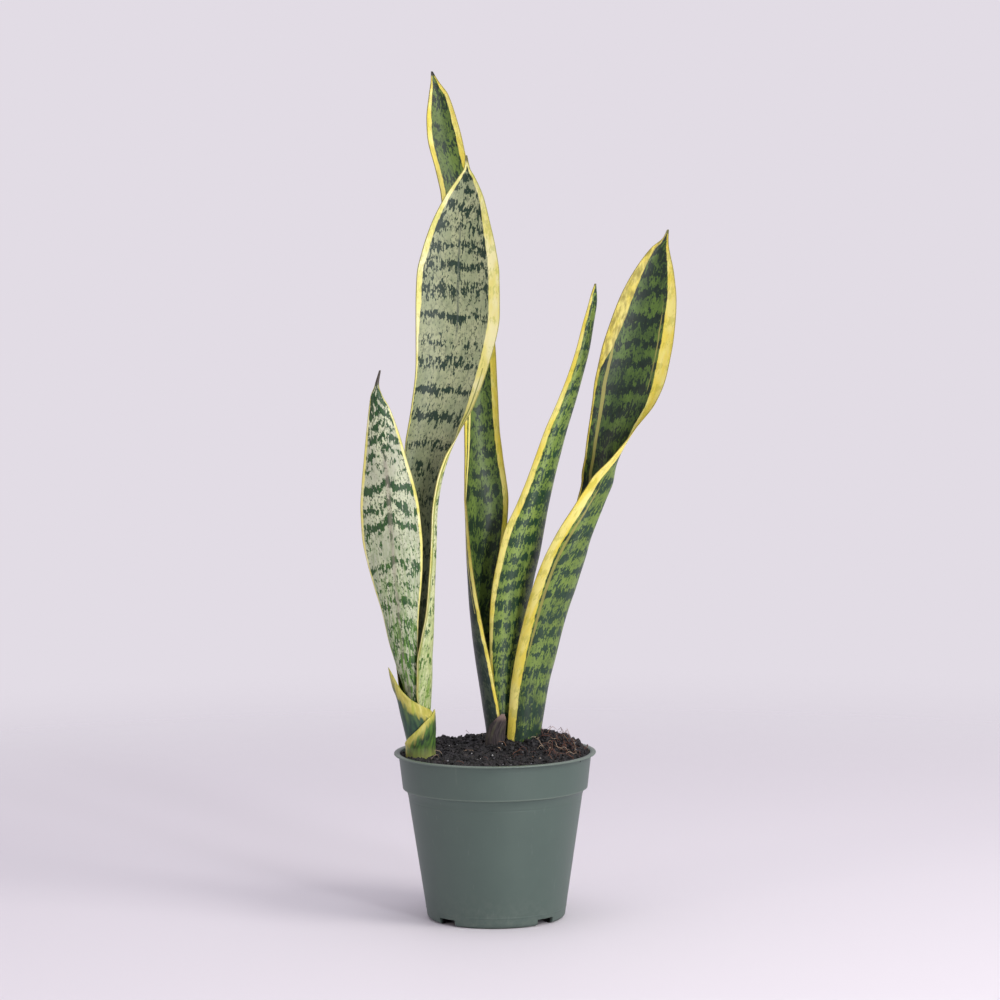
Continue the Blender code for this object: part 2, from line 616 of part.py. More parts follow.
def blade_rings(stations, thickness):
    """Closed level sections of a channelled blade: its outer face, then its inner face back."""
    heights = ring_heights(stations)
    x, y, heading, half, depth, wrap = smooth_through(stations, heights).T[:, :, None]
    heading, bend = np.radians(heading), np.radians(wrap) / 2
    u = np.linspace(-1.0, 1.0, COLUMNS)[None, :]
    angle = u * bend
    reach = np.sin(np.minimum(bend, math.pi / 2))
    fall = 1 - np.cos(bend)
    across, inward = half * np.sin(angle) / reach, depth * (1 - np.cos(angle)) / fall
    across_rate, inward_rate = half * np.cos(angle) / reach, depth * np.sin(angle) / fall
    facing = np.array([np.cos(heading), np.sin(heading)])
    beside = np.array([-np.sin(heading), np.cos(heading)])
    middle = np.array([x, y]) + inward * facing + across * beside
    along = inward_rate * facing + across_rate * beside
    along /= np.linalg.norm(along, axis=0)
    out = np.array([-along[1], along[0]])
    taper = np.clip(half / 4.0, 0.45, 1.0)
    offset = out * thickness * taper * (1 - (1 - MARGIN_SHARE) * u**2) / 2
    outer, inner = middle + offset, middle - offset
    level = np.concatenate([outer, inner[:, :, ::-1]], axis=2)
    tall = np.broadcast_to(heights[:, None], level.shape[1:])
    return np.stack([level[0], level[1], tall], axis=-1)


def loft(name, rings, collection, material=None):
    """A closed body through level rings that have the same number of points."""
    count, points = rings.shape[:2]
    vertices = rings.reshape(-1, 3) * MM
    faces = []
    for ring in range(count - 1):
        for point in range(points):
            a = ring * points + point
            b = ring * points + (point + 1) % points
            faces.append((a, b, b + points, a + points))
    faces.append(tuple(range(points))[::-1])
    faces.append(tuple(range((count - 1) * points, count * points)))
    mesh = bpy.data.meshes.new(name)
    mesh.from_pydata(vertices.tolist(), [], faces)
    close_normals(mesh)
    mesh.shade_smooth()
    return add_object(name, mesh, collection, material)


def on_shoot(stations, shoot, drawn):
    """The stations moved from where their table draws the shoot's base to where the base is."""
    moved = np.array(stations)
    moved[:, 0] += BASE_LEVEL - DRAWN_LEVEL
    moved[:, 1:3] += np.subtract(shoot, drawn)
    return moved


def on_left(stations):
    return on_shoot(stations, left_shoot(), DRAWN_LEFT_SHOOT)


def on_right(stations):
    return on_shoot(stations, RIGHT_SHOOT, DRAWN_RIGHT_SHOOT)


def build_blade(name, stations, thickness, material, parts):
    return loft(name, blade_rings(stations, thickness), parts, material)


def build_leaves(parts):
    silver = finish_of("silvery_leaf", (0.42, 0.50, 0.30), 0.45)
    green = finish_of("banded_leaf", (0.12, 0.22, 0.05), 0.4)
    for name, stations, material in (
        ("leaf_left_tall", on_left(LEFT_TALL_LEAF), silver),
        ("leaf_left_short", on_left(LEFT_SHORT_LEAF), silver),
        ("leaf_back_tall", on_right(BACK_TALL_LEAF), green),
        ("leaf_middle_narrow", on_right(MIDDLE_NARROW_LEAF), green),
        ("leaf_right_twisted", on_right(RIGHT_TWISTED_LEAF), green),
    ):
        build_blade(name, stations, LEAF_THICKNESS, material.copy(), parts)


def build_sheaths(parts):
    fresh = finish_of("green_sheath", (0.35, 0.35, 0.06), 0.5)
    dry = finish_of("dry_sheath", (0.25, 0.14, 0.08), 0.9)
    for name, stations, material in (
        ("sheath_left_inner", on_left(LEFT_INNER_SHEATH), fresh),
        ("sheath_left_outer", on_left(LEFT_OUTER_SHEATH), fresh),
        ("sheath_right_dry", on_right(RIGHT_DRY_SHEATH), dry),
    ):
        build_blade(name, stations, SHEATH_THICKNESS, material.copy(), parts)


def main():
    parts, cutters = start_scene("potted_snake_plant")
    build_pot(parts, cutters)
    build_soil(parts, cutters)
    build_rhizome(parts, cutters)
    build_leaves(parts)
    build_sheaths(parts)


main()
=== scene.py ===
# %% [markdown]
# # A potted snake plant
#
# The finished look of a snake plant in a moulded nursery pot. The CAD frame fixes where every piece is. Each cell
# below builds one piece of the real thing as a surface worked out with numpy, and gives it a finish made of nodes.

import math

import bpy
import numpy as np
from mathutils import Matrix, Vector


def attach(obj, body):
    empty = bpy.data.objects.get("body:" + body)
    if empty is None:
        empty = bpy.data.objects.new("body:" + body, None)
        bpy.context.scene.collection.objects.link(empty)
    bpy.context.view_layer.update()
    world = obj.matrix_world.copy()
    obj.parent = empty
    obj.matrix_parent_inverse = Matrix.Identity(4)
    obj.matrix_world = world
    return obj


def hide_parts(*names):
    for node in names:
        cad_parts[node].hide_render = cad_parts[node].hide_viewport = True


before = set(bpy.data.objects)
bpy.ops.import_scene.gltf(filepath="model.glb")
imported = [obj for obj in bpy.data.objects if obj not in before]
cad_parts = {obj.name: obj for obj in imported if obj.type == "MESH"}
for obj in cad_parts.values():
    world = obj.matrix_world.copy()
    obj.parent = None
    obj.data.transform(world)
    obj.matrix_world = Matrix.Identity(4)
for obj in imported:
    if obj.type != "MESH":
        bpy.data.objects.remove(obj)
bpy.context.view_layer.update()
MM = 0.001

# %% [markdown]
# ## Tools for surfaces
#
# A surface here is a grid of points in millimetres, rings by columns. One function turns the grid into a mesh object
# whose place is in its mesh, and another stores numbers on its points, which the finishes read.

# %% Surfaces
def mesh_object(name, points, faces, smooth=True):
    """A mesh object at the origin, from points in millimetres and faces that index them."""
    mesh = bpy.data.meshes.new(name)
    mesh.from_pydata((np.asarray(points) * MM).tolist(), [], faces if isinstance(faces, list) else faces.tolist())
    mesh.polygons.foreach_set("use_smooth", np.full(len(mesh.polygons), smooth))
    mesh.update()
    obj = bpy.data.objects.new(name, mesh)
    bpy.context.scene.collection.objects.link(obj)
    return obj


def ring_faces(rings, columns, offset=0):
    """Quads between neighbouring rings of a closed tube: each joins a point, the next one round and the two above."""
    ring, column = np.meshgrid(np.arange(rings - 1), np.arange(columns), indexing="ij")
    a = ring * columns + column
    b = ring * columns + (column + 1) % columns
    return np.stack([a, b, b + columns, a + columns], axis=-1).reshape(-1, 4) + offset


def round_rings(radius, height, sides):
    """Rings of points about Z: the radius times the cosine and the sine of evenly spaced angles, at each height."""
    around = np.linspace(0.0, 2 * math.pi, sides, endpoint=False)
    return np.stack([radius * np.cos(around), radius * np.sin(around), height + 0 * radius * around], axis=-1)


def give_values(obj, **values):
    """Stores one number per point under each name, for a material to read."""
    for name, numbers in values.items():
        layer = obj.data.attributes.new(name, "FLOAT", "POINT")
        layer.data.foreach_set("value", np.asarray(numbers, np.float32).ravel())


def lumps(x, y, size, seed):
    """Smooth random heights from -1 to 1: random values on a square lattice, eased between its corners."""
    table = np.random.default_rng(seed).uniform(-1.0, 1.0, (64, 64))
    i, j = np.floor(x / size), np.floor(y / size)
    s, t = x / size - i, y / size - j
    s, t = s * s * (3 - 2 * s), t * t * (3 - 2 * t)
    i, j = i.astype(int) % 64, j.astype(int) % 64
    near = table[i, j] * (1 - s) + table[(i + 1) % 64, j] * s
    far = table[i, (j + 1) % 64] * (1 - s) + table[(i + 1) % 64, (j + 1) % 64] * s
    return near * (1 - t) + far * t


# %% [markdown]
# ## Tools for finishes
#
# The table says what each kind of node is: its type, its settings, the output it gives and, where they aren't simply
# the first ones, the sockets that its values fill. One function adds a node of any kind with its settings and links.

# %% Finishes
def shade(hexa):
    """Linear colour of an sRGB hex value."""
    values = [int(hexa[i : i + 2], 16) / 255 for i in (1, 3, 5)]
    return (*[v / 12.92 if v <= 0.04045 else ((v + 0.055) / 1.055) ** 2.4 for v in values], 1.0)


KINDS = {
    "place": ("TexCoord", {}, "Object"),
    "direction": ("TexCoord", {}, "Generated"),
    "strip": ("UVMap", {"uv_map": "strip"}, "UV"),
    "number": ("Attribute", {}, "Fac"),
    "seen": ("LightPath", {}, "Is Camera Ray"),
    "noise": ("TexNoise", {}, "Fac"),
    "ramp": ("ValToRGB", {}, "Color"),
    "bump": ("Bump", {}, "Normal"),
    "mix": ("Mix", {"data_type": "RGBA"}, 2, (0, 6, 7)),
    "choose": ("Mix", {}, 0, (0, 2, 3)),
    "ease": ("MapRange", {"interpolation_type": "SMOOTHSTEP"}, 0),
    "range": ("MapRange", {}, 0),
    "plus": ("Math", {"operation": "ADD"}, 0),
    "minus": ("Math", {"operation": "SUBTRACT"}, 0),
    "times": ("Math", {"operation": "MULTIPLY"}, 0),
    "larger": ("Math", {"operation": "MAXIMUM"}, 0),
    "depth": ("SeparateXYZ", {}, "Y"),
    "height": ("SeparateXYZ", {}, "Z"),
    "lift": ("CombineXYZ", {}, 0, (2,)),
    "shift": ("VectorMath", {"operation": "ADD"}, 0),
    "stretch": ("VectorMath", {"operation": "MULTIPLY"}, 0),
    "length": ("VectorMath", {"operation": "LENGTH"}, "Value"),
    "brighten": ("VectorMath", {"operation": "SCALE"}, 0, (0, 3)),
}


def add(tree, kind, *values, **named):
    """Adds a node of one of the kinds above and returns its output. Values fill its sockets in order. A named value
    fills the socket of that name or, in lower case, sets a property. Each is a number, a hex colour or an output."""
    name, settings, output, *order = KINDS[kind]
    node = tree.nodes.new("ShaderNode" + name)
    for key, value in settings.items():
        setattr(node, key, value)
    filled = [(node.inputs[index], value) for index, value in zip(order[0] if order else range(9), values)]
    for key, value in named.items():
        if key.islower():
            setattr(node, key, value)
        else:
            filled.append((node.inputs[key], value))
    for socket, value in filled:
        if isinstance(value, bpy.types.NodeSocket):
            tree.links.new(value, socket)
        else:
            socket.default_value = shade(value) if isinstance(value, str) else value
    return node.outputs[output]


def new_material(name, **values):
    """An empty material, its node tree and its Principled shader, with that shader's plain values set."""
    material = bpy.data.materials.new(name)
    material.use_nodes = True
    tree = material.node_tree
    shader = tree.nodes["Principled BSDF"]
    for key, value in values.items():
        shader.inputs[key.replace("_", " ")].default_value = value
    return material, tree, shader


def wire(tree, shader, **outputs):
    """Joins outputs to the shader's sockets of those names."""
    for key, output in outputs.items():
        tree.links.new(output, shader.inputs[key.replace("_", " ")])


def finish_piece(obj, material, slot, *replaced):
    """Gives a piece its material and its body, and hides the CAD nodes it stands for. The slot is not used."""
    obj.data.materials.clear()
    obj.data.materials.append(material)
    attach(obj, "root")
    if replaced:
        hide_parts(*replaced)
    low, high = np.array(obj.bound_box).min(0) / MM, np.array(obj.bound_box).max(0) / MM
    print(obj.name, len(obj.data.polygons), "faces,", np.round(low, 1), "to", np.round(high, 1))


# %% [markdown]
# ## Camera
#
# A long lens from about 2.8 m away, a little above the pot and looking slightly down.

# %% Camera
LENS = 130.0
LOOKS_DOWN = 4.78
ROLL = -0.46
STANDS_AT = (0.0055, -2.786, 0.559)

camera = bpy.data.objects.new("camera", bpy.data.cameras.new("camera"))
bpy.context.scene.collection.objects.link(camera)
camera.data.lens = LENS
camera.data.sensor_width = 36.0
camera.data.clip_end = 60.0
look = Matrix.Rotation(math.radians(90.0 - LOOKS_DOWN), 4, "X") @ Matrix.Rotation(math.radians(ROLL), 4, "Z")
camera.matrix_world = Matrix.Translation(STANDS_AT) @ look
bpy.context.scene.camera = camera
print("camera:", LENS, "mm lens at", STANDS_AT, "m, looking down by", LOOKS_DOWN, "degrees")

# %% [markdown]
# ## Light
#
# A pale studio: a large soft key from the right, a tall strip near the camera that draws the pot's highlight, a weaker
# warm strip from the left front and a soft top. The surround is pale, and dimmer on the camera's side, which gives the
# leaves shape.

# %% Light
def soft_box(name, azimuth, elevation, distance, width, height, watts, colour):
    """An area light that looks at the plant's middle. Azimuth 0 is the front and positive is to the right."""
    light = bpy.data.lights.new(name, "AREA")
    light.shape = "RECTANGLE"
    light.size, light.size_y = width, height
    light.energy = watts
    light.color = shade(colour)[:3]
    holder = bpy.data.objects.new(name, light)
    bpy.context.scene.collection.objects.link(holder)
    a, e = math.radians(azimuth), math.radians(elevation)
    towards = Vector((math.sin(a) * math.cos(e), -math.cos(a) * math.cos(e), math.sin(e)))
    holder.location = Vector((0.0, 0.0, 0.28)) + towards * distance
    holder.rotation_euler = towards.to_track_quat("Z", "Y").to_euler()


soft_box("key", 60.0, 34.0, 2.6, 1.1, 1.3, 33.0, "#FFFBF4")
soft_box("strip", 30.0, 4.0, 1.9, 0.2, 1.4, 16.0, "#FFFFFF")
soft_box("fill", -50.0, 4.0, 2.0, 0.14, 1.4, 4.5, "#FFF0E0")
soft_box("top", 0.0, 80.0, 2.2, 1.6, 1.6, 12.0, "#FFFFFF")

world = bpy.data.worlds.new("studio")
bpy.context.scene.world = world
world.use_nodes = True
surround = world.node_tree
direction = add(surround, "direction")
depth = add(surround, "depth", direction)
dim = add(surround, "range", depth, -1.0, 1.0, 0.42, 0.94)
seen = add(surround, "seen")
level = add(surround, "choose", seen, dim, 1.0)
surround.nodes["Background"].inputs["Color"].default_value = shade("#E2DCE5")
surround.links.new(level, surround.nodes["Background"].inputs["Strength"])
bpy.context.scene.view_settings.view_transform = "Standard"
print("lights:", [light.name for light in bpy.data.lights])

# %% [markdown]
# ## Floor
#
# A plain pale sheet. It fades out with distance, so no edge or horizon shows from any side.

# %% Floor
FLOOR_RINGS = (300.0, 900.0, 1600.0)


def build_floor():
    """A flat disc. Its opacity falls smoothly from one to nothing between 0.5 m and 1.5 m from its middle."""
    sides = 96
    rings = round_rings(np.array(FLOOR_RINGS)[:, None], 0.0, sides)
    faces = ring_faces(len(rings), sides).tolist() + [list(range(sides))]
    floor = mesh_object("floor", rings.reshape(-1, 3), faces, smooth=False)
    # Uncoated background paper: a matt, faintly violet white with hardly any shine.
    material, tree, shader = new_material(
        "pale_paper_sheet", Base_Color=shade("#E6E2EA"), Roughness=0.6, Specular_IOR_Level=0.1
    )
    place = add(tree, "place")
    far = add(tree, "length", place)
    wire(tree, shader, Alpha=add(tree, "minus", 1.0, add(tree, "ease", far, 0.5, 1.5)))
    floor.data.materials.append(material)
    print("floor", len(floor.data.polygons), "faces")


build_floor()

# %% [markdown]
# ## The pot
#
# Thin-walled nursery pots are injection moulded in polypropylene: a tapered body, a wider band that takes the grip, a
# thin flat lip, a faint bead above the foot and notches that let water out. The body is a profile turned about the
# axis in many steps, and the notches are cut from it.

# %% Pot shape
# Lengths are in millimetres, and a taper is the radius gained for each millimetre of height.
POT_HEIGHT = 129.7
WALL = 1.2
FOOT_RADIUS = 54.0
FOOT_ROUNDING = 3.6
TAPER = 0.15
BAND_HEIGHT = 27.7
BAND_STEP = 3.2
SHOULDER_HEIGHT = 6.5
BAND_TAPER = 0.117
LIP_REACH = 3.4
FLOOR_TOP = 3.6
NOTCH = (16.4, 5.3, 11.0)  # width, height and depth
RIBS = ((8.4, 0.55, 0.16), (93.6, 0.4, -0.12), (124.6, 0.35, -0.1))  # height, width and size
POT_SIDES = 224


def body_radius(height):
    """Foot radius, plus the taper for each millimetre above the foot's rounding."""
    return FOOT_RADIUS + TAPER * (height - FOOT_ROUNDING)


def band_radius(height):
    """Body radius at the band's lower edge, plus the step out, plus the band's own taper above that edge."""
    start = POT_HEIGHT - BAND_HEIGHT
    return body_radius(start) + BAND_STEP + BAND_TAPER * (height - start)


def outside_radius(height):
    """Body below, band above, and a step that turns over quickly at the top and eases out slowly below it. Each rib
    adds its size times a bell curve of its width: a bead above the foot and two fine moulding lines."""
    top = POT_HEIGHT - BAND_HEIGHT
    share = np.clip((height - (top - SHOULDER_HEIGHT)) / SHOULDER_HEIGHT, 0.0, 1.0)
    step = 1 - (1 - share**2.4) ** 0.55
    low = body_radius(np.minimum(height, top))
    inside_step = low + (band_radius(top) - body_radius(top)) * step
    ribs = sum(size * np.exp(-(((height - at) / width) ** 2)) for at, width, size in RIBS)
    return np.where(height > top, band_radius(height), inside_step) + ribs


def arc(centre, radius, start, end, count):
    """Points on a circle between two angles in degrees: the centre plus the radius times cosine and sine."""
    angle = np.radians(np.linspace(start, end, count))
    return np.column_stack([centre[0] + radius * np.cos(angle), centre[1] + radius * np.sin(angle)])


def spans(*rows):
    """Evenly spaced numbers, one stretch after another, each given by its start, end and count."""
    return np.concatenate([np.linspace(*row) for row in rows])


def pot_profile():
    """Radius and height from the floor's middle up the inside, over the lip, down the outside and back underneath."""
    inner_heights = spans((6.0, 94.0, 12), (95.0, 103.0, 12), (106.0, 127.4, 6))
    inner = np.column_stack([outside_radius(inner_heights) - WALL, inner_heights])
    lip_in, lip_out = band_radius(POT_HEIGHT) - WALL, band_radius(POT_HEIGHT) + LIP_REACH
    lip = np.vstack([
        arc((lip_in + 0.9, POT_HEIGHT - 0.9), 0.9, 180, 90, 6),
        arc((lip_out - 0.72, POT_HEIGHT - 0.72), 0.72, 90, -70, 9),
        [(lip_out - 1.6, POT_HEIGHT - 1.45), (band_radius(127.0) + 1.1, POT_HEIGHT - 1.6)],
        arc((band_radius(127.0) + 1.1, POT_HEIGHT - 2.7), 1.1, 110, 180, 5),
    ])
    heights = spans((126.0, 103.0, 40), (102.5, 93.0, 40), (92.0, 12.0, 24), (10.5, 6.5, 17))
    outer = np.column_stack([outside_radius(heights), heights])
    foot = arc((body_radius(FOOT_ROUNDING) - FOOT_ROUNDING, FOOT_ROUNDING), FOOT_ROUNDING, 0, -90, 9)
    ring = body_radius(FOOT_ROUNDING) - 6.0
    under = np.array([(ring, 0.0), (ring - 1.2, 2.4), (13.2, 2.4), (12.0, 0.0), (0.0, 0.0)])
    floor = np.array([(0.0, FLOOR_TOP), (body_radius(FLOOR_TOP) - WALL - 2.0, FLOOR_TOP)])
    return np.vstack([floor, inner, lip, outer, foot, under])


def turned(name, profile, sides):
    """The profile turned about Z: each ring is a profile point carried round the axis, and the ends close on it."""
    rings = round_rings(profile[1:-1, :1], profile[1:-1, 1:], sides)
    points = np.vstack([rings.reshape(-1, 3), [(0, 0, profile[0, 1])], [(0, 0, profile[-1, 1])]])
    faces = ring_faces(len(rings), sides)[:, ::-1].tolist()
    first, last = len(points) - 2, len(points) - 1
    faces += [(first, i, (i + 1) % sides) for i in range(sides)]
    base = (len(rings) - 1) * sides
    faces += [(last, base + (i + 1) % sides, base + i) for i in range(sides)]
    return mesh_object(name, points, faces)


def cut_notches(pot):
    """Cuts four square-edged blocks out of the foot, on the diagonals. Each reaches past the wall and the underside."""
    width, height, depth = NOTCH
    past = 4.0
    corners = np.array([(x, y, z) for x in (0, 1) for y in (-0.5, 0.5) for z in (-1.0, 1.0)])
    block = [(0, 1, 3, 2), (4, 6, 7, 5), (0, 4, 5, 1), (2, 3, 7, 6), (0, 2, 6, 4), (1, 5, 7, 3)]
    points, faces = [], []
    for index in range(4):
        turn = math.radians(45 + 90 * index)
        x = FOOT_RADIUS + past - (depth + past) * corners[:, 0]
        y = width * corners[:, 1]
        east, north = x * math.cos(turn) - y * math.sin(turn), x * math.sin(turn) + y * math.cos(turn)
        points += np.column_stack([east, north, height * corners[:, 2]]).tolist()
        faces += [tuple(i + 8 * index for i in face[::-1]) for face in block]
    cutter = mesh_object("notch_blocks", points, faces, smooth=False)
    modifier = pot.modifiers.new("notches", "BOOLEAN")
    modifier.operation, modifier.object, modifier.solver = "DIFFERENCE", cutter, "MANIFOLD"
    graph = bpy.context.evaluated_depsgraph_get()
    pot.data = bpy.data.meshes.new_from_object(pot.evaluated_get(graph))
    pot.modifiers.clear()
    bpy.data.objects.remove(cutter)
    pot.data.set_sharp_from_angle(angle=math.radians(38))


pot = turned("nursery_pot", pot_profile(), POT_SIDES)
cut_notches(pot)
print("pot faces:", len(pot.data.polygons))

# %% [markdown]
# The plastic is polypropylene with a little filler, moulded against a finely blasted steel tool. The eye sees a dull
# satin green-grey, long soft highlights that break up in a fine grain, a film of dust near the foot and small rubs.
# The lip's edge is rubbed paler by stacking. The band's lower edge carries a thin painted highlight, and the notches
# and the foot's lowest rounding are painted near-black as shade.

# %% Pot finish
def moulded_polypropylene():
    """Grey-green in soft clouds, then dust low down, small rubs, a paler rubbed lip, a painted highlight on the band's
    lower edge, and painted shade in the notches and under the foot.
    """
    material, tree, shader = new_material("moulded_polypropylene", IOR=1.49)
    place = add(tree, "place")
    cloud = add(tree, "noise", place, Scale=28.0, Detail=4.0, Roughness=0.6)
    base = add(tree, "mix", cloud, "#485852", "#51625B")
    height = add(tree, "height", place)
    low = add(tree, "ease", height, 0.034, 0.0)
    dust = add(tree, "noise", place, Scale=180.0, Detail=5.0, Roughness=0.7)
    film = add(tree, "times", add(tree, "times", low, add(tree, "ease", dust, 0.35, 0.75)), 0.16)
    base = add(tree, "mix", film, base, "#8F948E")
    stretch = add(tree, "stretch", place, (1.0, 1.0, 0.12))
    rub = add(tree, "noise", stretch, Scale=420.0, Detail=2.0)
    scuff = add(tree, "times", add(tree, "ease", rub, 0.66, 0.74), 0.10)
    base = add(tree, "mix", scuff, base, "#7B8781")
    flat = add(tree, "stretch", place, (1.0, 1.0, 0.0))
    radius = add(tree, "length", flat)
    # The lip's rim is rubbed paler by wear. The band's lower edge gets a painted highlight: a thin paler line where its
    # rounding catches the light.
    rim = add(tree, "times", add(tree, "ease", height, 0.1284, 0.1292), add(tree, "ease", radius, 0.0752, 0.0766))
    edge = add(tree, "times", add(tree, "ease", height, 0.1012, 0.1019), add(tree, "ease", height, 0.1032, 0.1024))
    lip_rub_and_edge_highlight = add(tree, "plus", add(tree, "times", rim, 0.2), add(tree, "times", edge, 0.14))
    base = add(tree, "mix", lip_rub_and_edge_highlight, base, "#A3AD9F")
    # Painted shade: the notches and the foot's lowest rounding are made near-black, for the unlit space under the pot.
    notch_painted_shade = add(tree, "times", add(tree, "ease", radius, 0.0528, 0.0505), add(tree, "ease", height, 0.0060, 0.0052))
    base = add(tree, "mix", notch_painted_shade, base, "#0B0D0C")
    rough = add(tree, "range", cloud, 0.0, 1.0, 0.42, 0.5)
    rough = add(tree, "plus", rough, add(tree, "times", film, 1.2))
    grain = add(tree, "noise", place, Scale=1500.0, Detail=2.0)
    wave = add(tree, "noise", stretch, Scale=26.0, Detail=1.0)
    fine = add(tree, "bump", Strength=0.06, Distance=0.0003, Height=grain)
    soft = add(tree, "bump", Strength=0.25, Distance=0.0008, Height=wave, Normal=fine)
    wire(tree, shader, Base_Color=base, Roughness=rough, Normal=soft)
    return material


finish_piece(pot, moulded_polypropylene(), "pot", "pot")

# %% [markdown]
# ## The potting mix
#
# Peat and fine bark, nearly black when moist, with a few white perlite grains and brown coir fibres. The body is one
# surface that runs over the heaped top, down the wall and across the floor. Crumbs, grains and fibres lie on it.

# %% Soil surface
SOIL_TOP = POT_HEIGHT - 2.6
HEAP = (15.0, 25.0, 28.0, 41.0, 26.0)  # rise, the middle's x and y, and the spread in x and y
BANK = (4.6, 63.0, 8.5)  # rise, radius of its crest and spread
SOIL_RADIUS = band_radius(POT_HEIGHT) - WALL - 0.2
SOIL_SIDES = 220


def soil_level(x, y):
    """Level at the wall, with a smooth heap towards the back right, a low bank at the back and lumps of three sizes."""
    rise, cx, cy, rx, ry = HEAP
    radius = np.hypot(x, y)
    fade = np.clip((1 - (radius / SOIL_RADIUS) ** 4) * 4.0, 0.0, 1.0)
    heap = rise * fade * np.exp(-(((x - cx) / rx) ** 2 + ((y - cy) / ry) ** 2))
    bank_rise, crest, spread = BANK
    ridge = np.exp(-(((radius - crest) / spread) ** 2))
    bank = bank_rise * ridge * np.clip(y / 35.0, 0.0, 1.0) * np.clip((50.0 - x) / 40.0, 0.0, 1.0)
    rough = 1.2 * lumps(x, y, 9.0, 3) + 0.9 * lumps(x, y, 4.1, 5) + 0.6 * lumps(x, y, 1.9, 7)
    return SOIL_TOP + heap + bank + rough * np.clip((SOIL_RADIUS - radius) / 4.0, 0.25, 1.0) - 0.4


def soil_body():
    """Rings of points: out across the top, down inside the wall, and back to the middle of the floor."""
    reach = np.linspace(0.02, 1.0, 80)[:, None] * SOIL_RADIUS
    top = round_rings(reach, 0.0, SOIL_SIDES)
    top[..., 2] = soil_level(top[..., 0], top[..., 1])
    heights = np.array([120.0, 104.0, 95.0, 50.0, 8.0, 3.9])[:, None]
    radius = outside_radius(heights) - WALL - 0.35
    radius[-1] -= 2.5
    rings = np.vstack([top, round_rings(radius, heights, SOIL_SIDES)])
    faces = ring_faces(len(rings), SOIL_SIDES)[:, ::-1].tolist()
    base = (len(rings) - 1) * SOIL_SIDES
    faces += [list(range(SOIL_SIDES)), list(range(base, base + SOIL_SIDES))[::-1]]
    return mesh_object("potting_mix", rings.reshape(-1, 3), faces)


soil = soil_body()
print("potting mix faces:", len(soil.data.polygons))

# %% [markdown]
# ### What lies on the mix
#
# Crumbs of peat from half a millimetre to two across, chips of bark, a few grains of perlite, and coir fibres that curl
# up off the surface, most of them at the foot of the right shoot.

# %% Crumbs, grains and fibres
def ball_shape(rounds):
    """Points and faces of a twenty-sided ball, each face split into four for each round."""
    golden = (1 + 5**0.5) / 2
    points = [(-1, golden, 0), (1, golden, 0), (-1, -golden, 0), (1, -golden, 0), (0, -1, golden), (0, 1, golden)]
    points += [(0, -1, -golden), (0, 1, -golden), (golden, 0, -1), (golden, 0, 1), (-golden, 0, -1), (-golden, 0, 1)]
    faces = [(0, 11, 5), (0, 5, 1), (0, 1, 7), (0, 7, 10), (0, 10, 11), (1, 5, 9), (5, 11, 4), (11, 10, 2)]
    faces += [(10, 7, 6), (7, 1, 8), (3, 9, 4), (3, 4, 2), (3, 2, 6), (3, 6, 8), (3, 8, 9), (4, 9, 5), (2, 4, 11)]
    faces += [(6, 2, 10), (8, 6, 7), (9, 8, 1)]
    points = [np.array(p) / np.linalg.norm(p) for p in points]
    for _ in range(rounds):
        middles, split = {}, []
        for a, b, c in faces:
            mids = []
            for p, q in ((a, b), (b, c), (c, a)):
                key = (min(p, q), max(p, q))
                if key not in middles:
                    middle = points[p] + points[q]
                    middles[key] = len(points)
                    points.append(middle / np.linalg.norm(middle))
                mids.append(middles[key])
            split += [(a, mids[0], mids[2]), (b, mids[1], mids[0]), (c, mids[2], mids[1]), tuple(mids)]
        faces = split
    return np.array(points), np.array(faces)


def random_turns(rng, count):
    """Rotation matrices from random unit quaternions."""
    q = rng.normal(size=(count, 4))
    w, x, y, z = (q / np.linalg.norm(q, axis=1, keepdims=True)).T
    rows = [
        [1 - 2 * (y * y + z * z), 2 * (x * y - w * z), 2 * (x * z + w * y)],
        [2 * (x * y + w * z), 1 - 2 * (x * x + z * z), 2 * (y * z - w * x)],
        [2 * (x * z - w * y), 2 * (y * z + w * x), 1 - 2 * (x * x + y * y)],
    ]
    return np.array(rows).transpose(2, 0, 1)


def scatter_grains(name, places, sizes, stretch, rounds, jitter, rng):
    """Copies of one rough ball: each is jittered, stretched, turned and set down at its place."""
    ball, ball_faces = ball_shape(rounds)
    count = len(places)
    bent = ball[None] * (1 + jitter * rng.uniform(-1, 1, (count, len(ball), 1)))
    bent = bent * (1 + stretch * rng.uniform(-0.5, 0.5, (count, 1, 3)))
    turned_points = np.einsum("nij,nkj->nki", random_turns(rng, count), bent)
    points = turned_points * sizes[:, None, None] + places[:, None, :]
    faces = (ball_faces[None] + (np.arange(count) * len(ball))[:, None, None]).reshape(-1, 3)
    obj = mesh_object(name, points.reshape(-1, 3), faces, smooth=False)
    give_values(obj, tone=np.repeat(rng.uniform(0, 1, count), len(ball)))
    return obj


def in_the_pot(rng, count, margin):
    """Random places on the soil, spread evenly over its circle."""
    radius = (SOIL_RADIUS - margin) * np.sqrt(rng.uniform(0, 1, count))
    angle = rng.uniform(0, 2 * math.pi, count)
    return radius * np.cos(angle), radius * np.sin(angle)


def lay(x, y, lift):
    """Points over the soil: its level at each place, plus the lift."""
    return np.column_stack([x, y, soil_level(x, y) + lift])


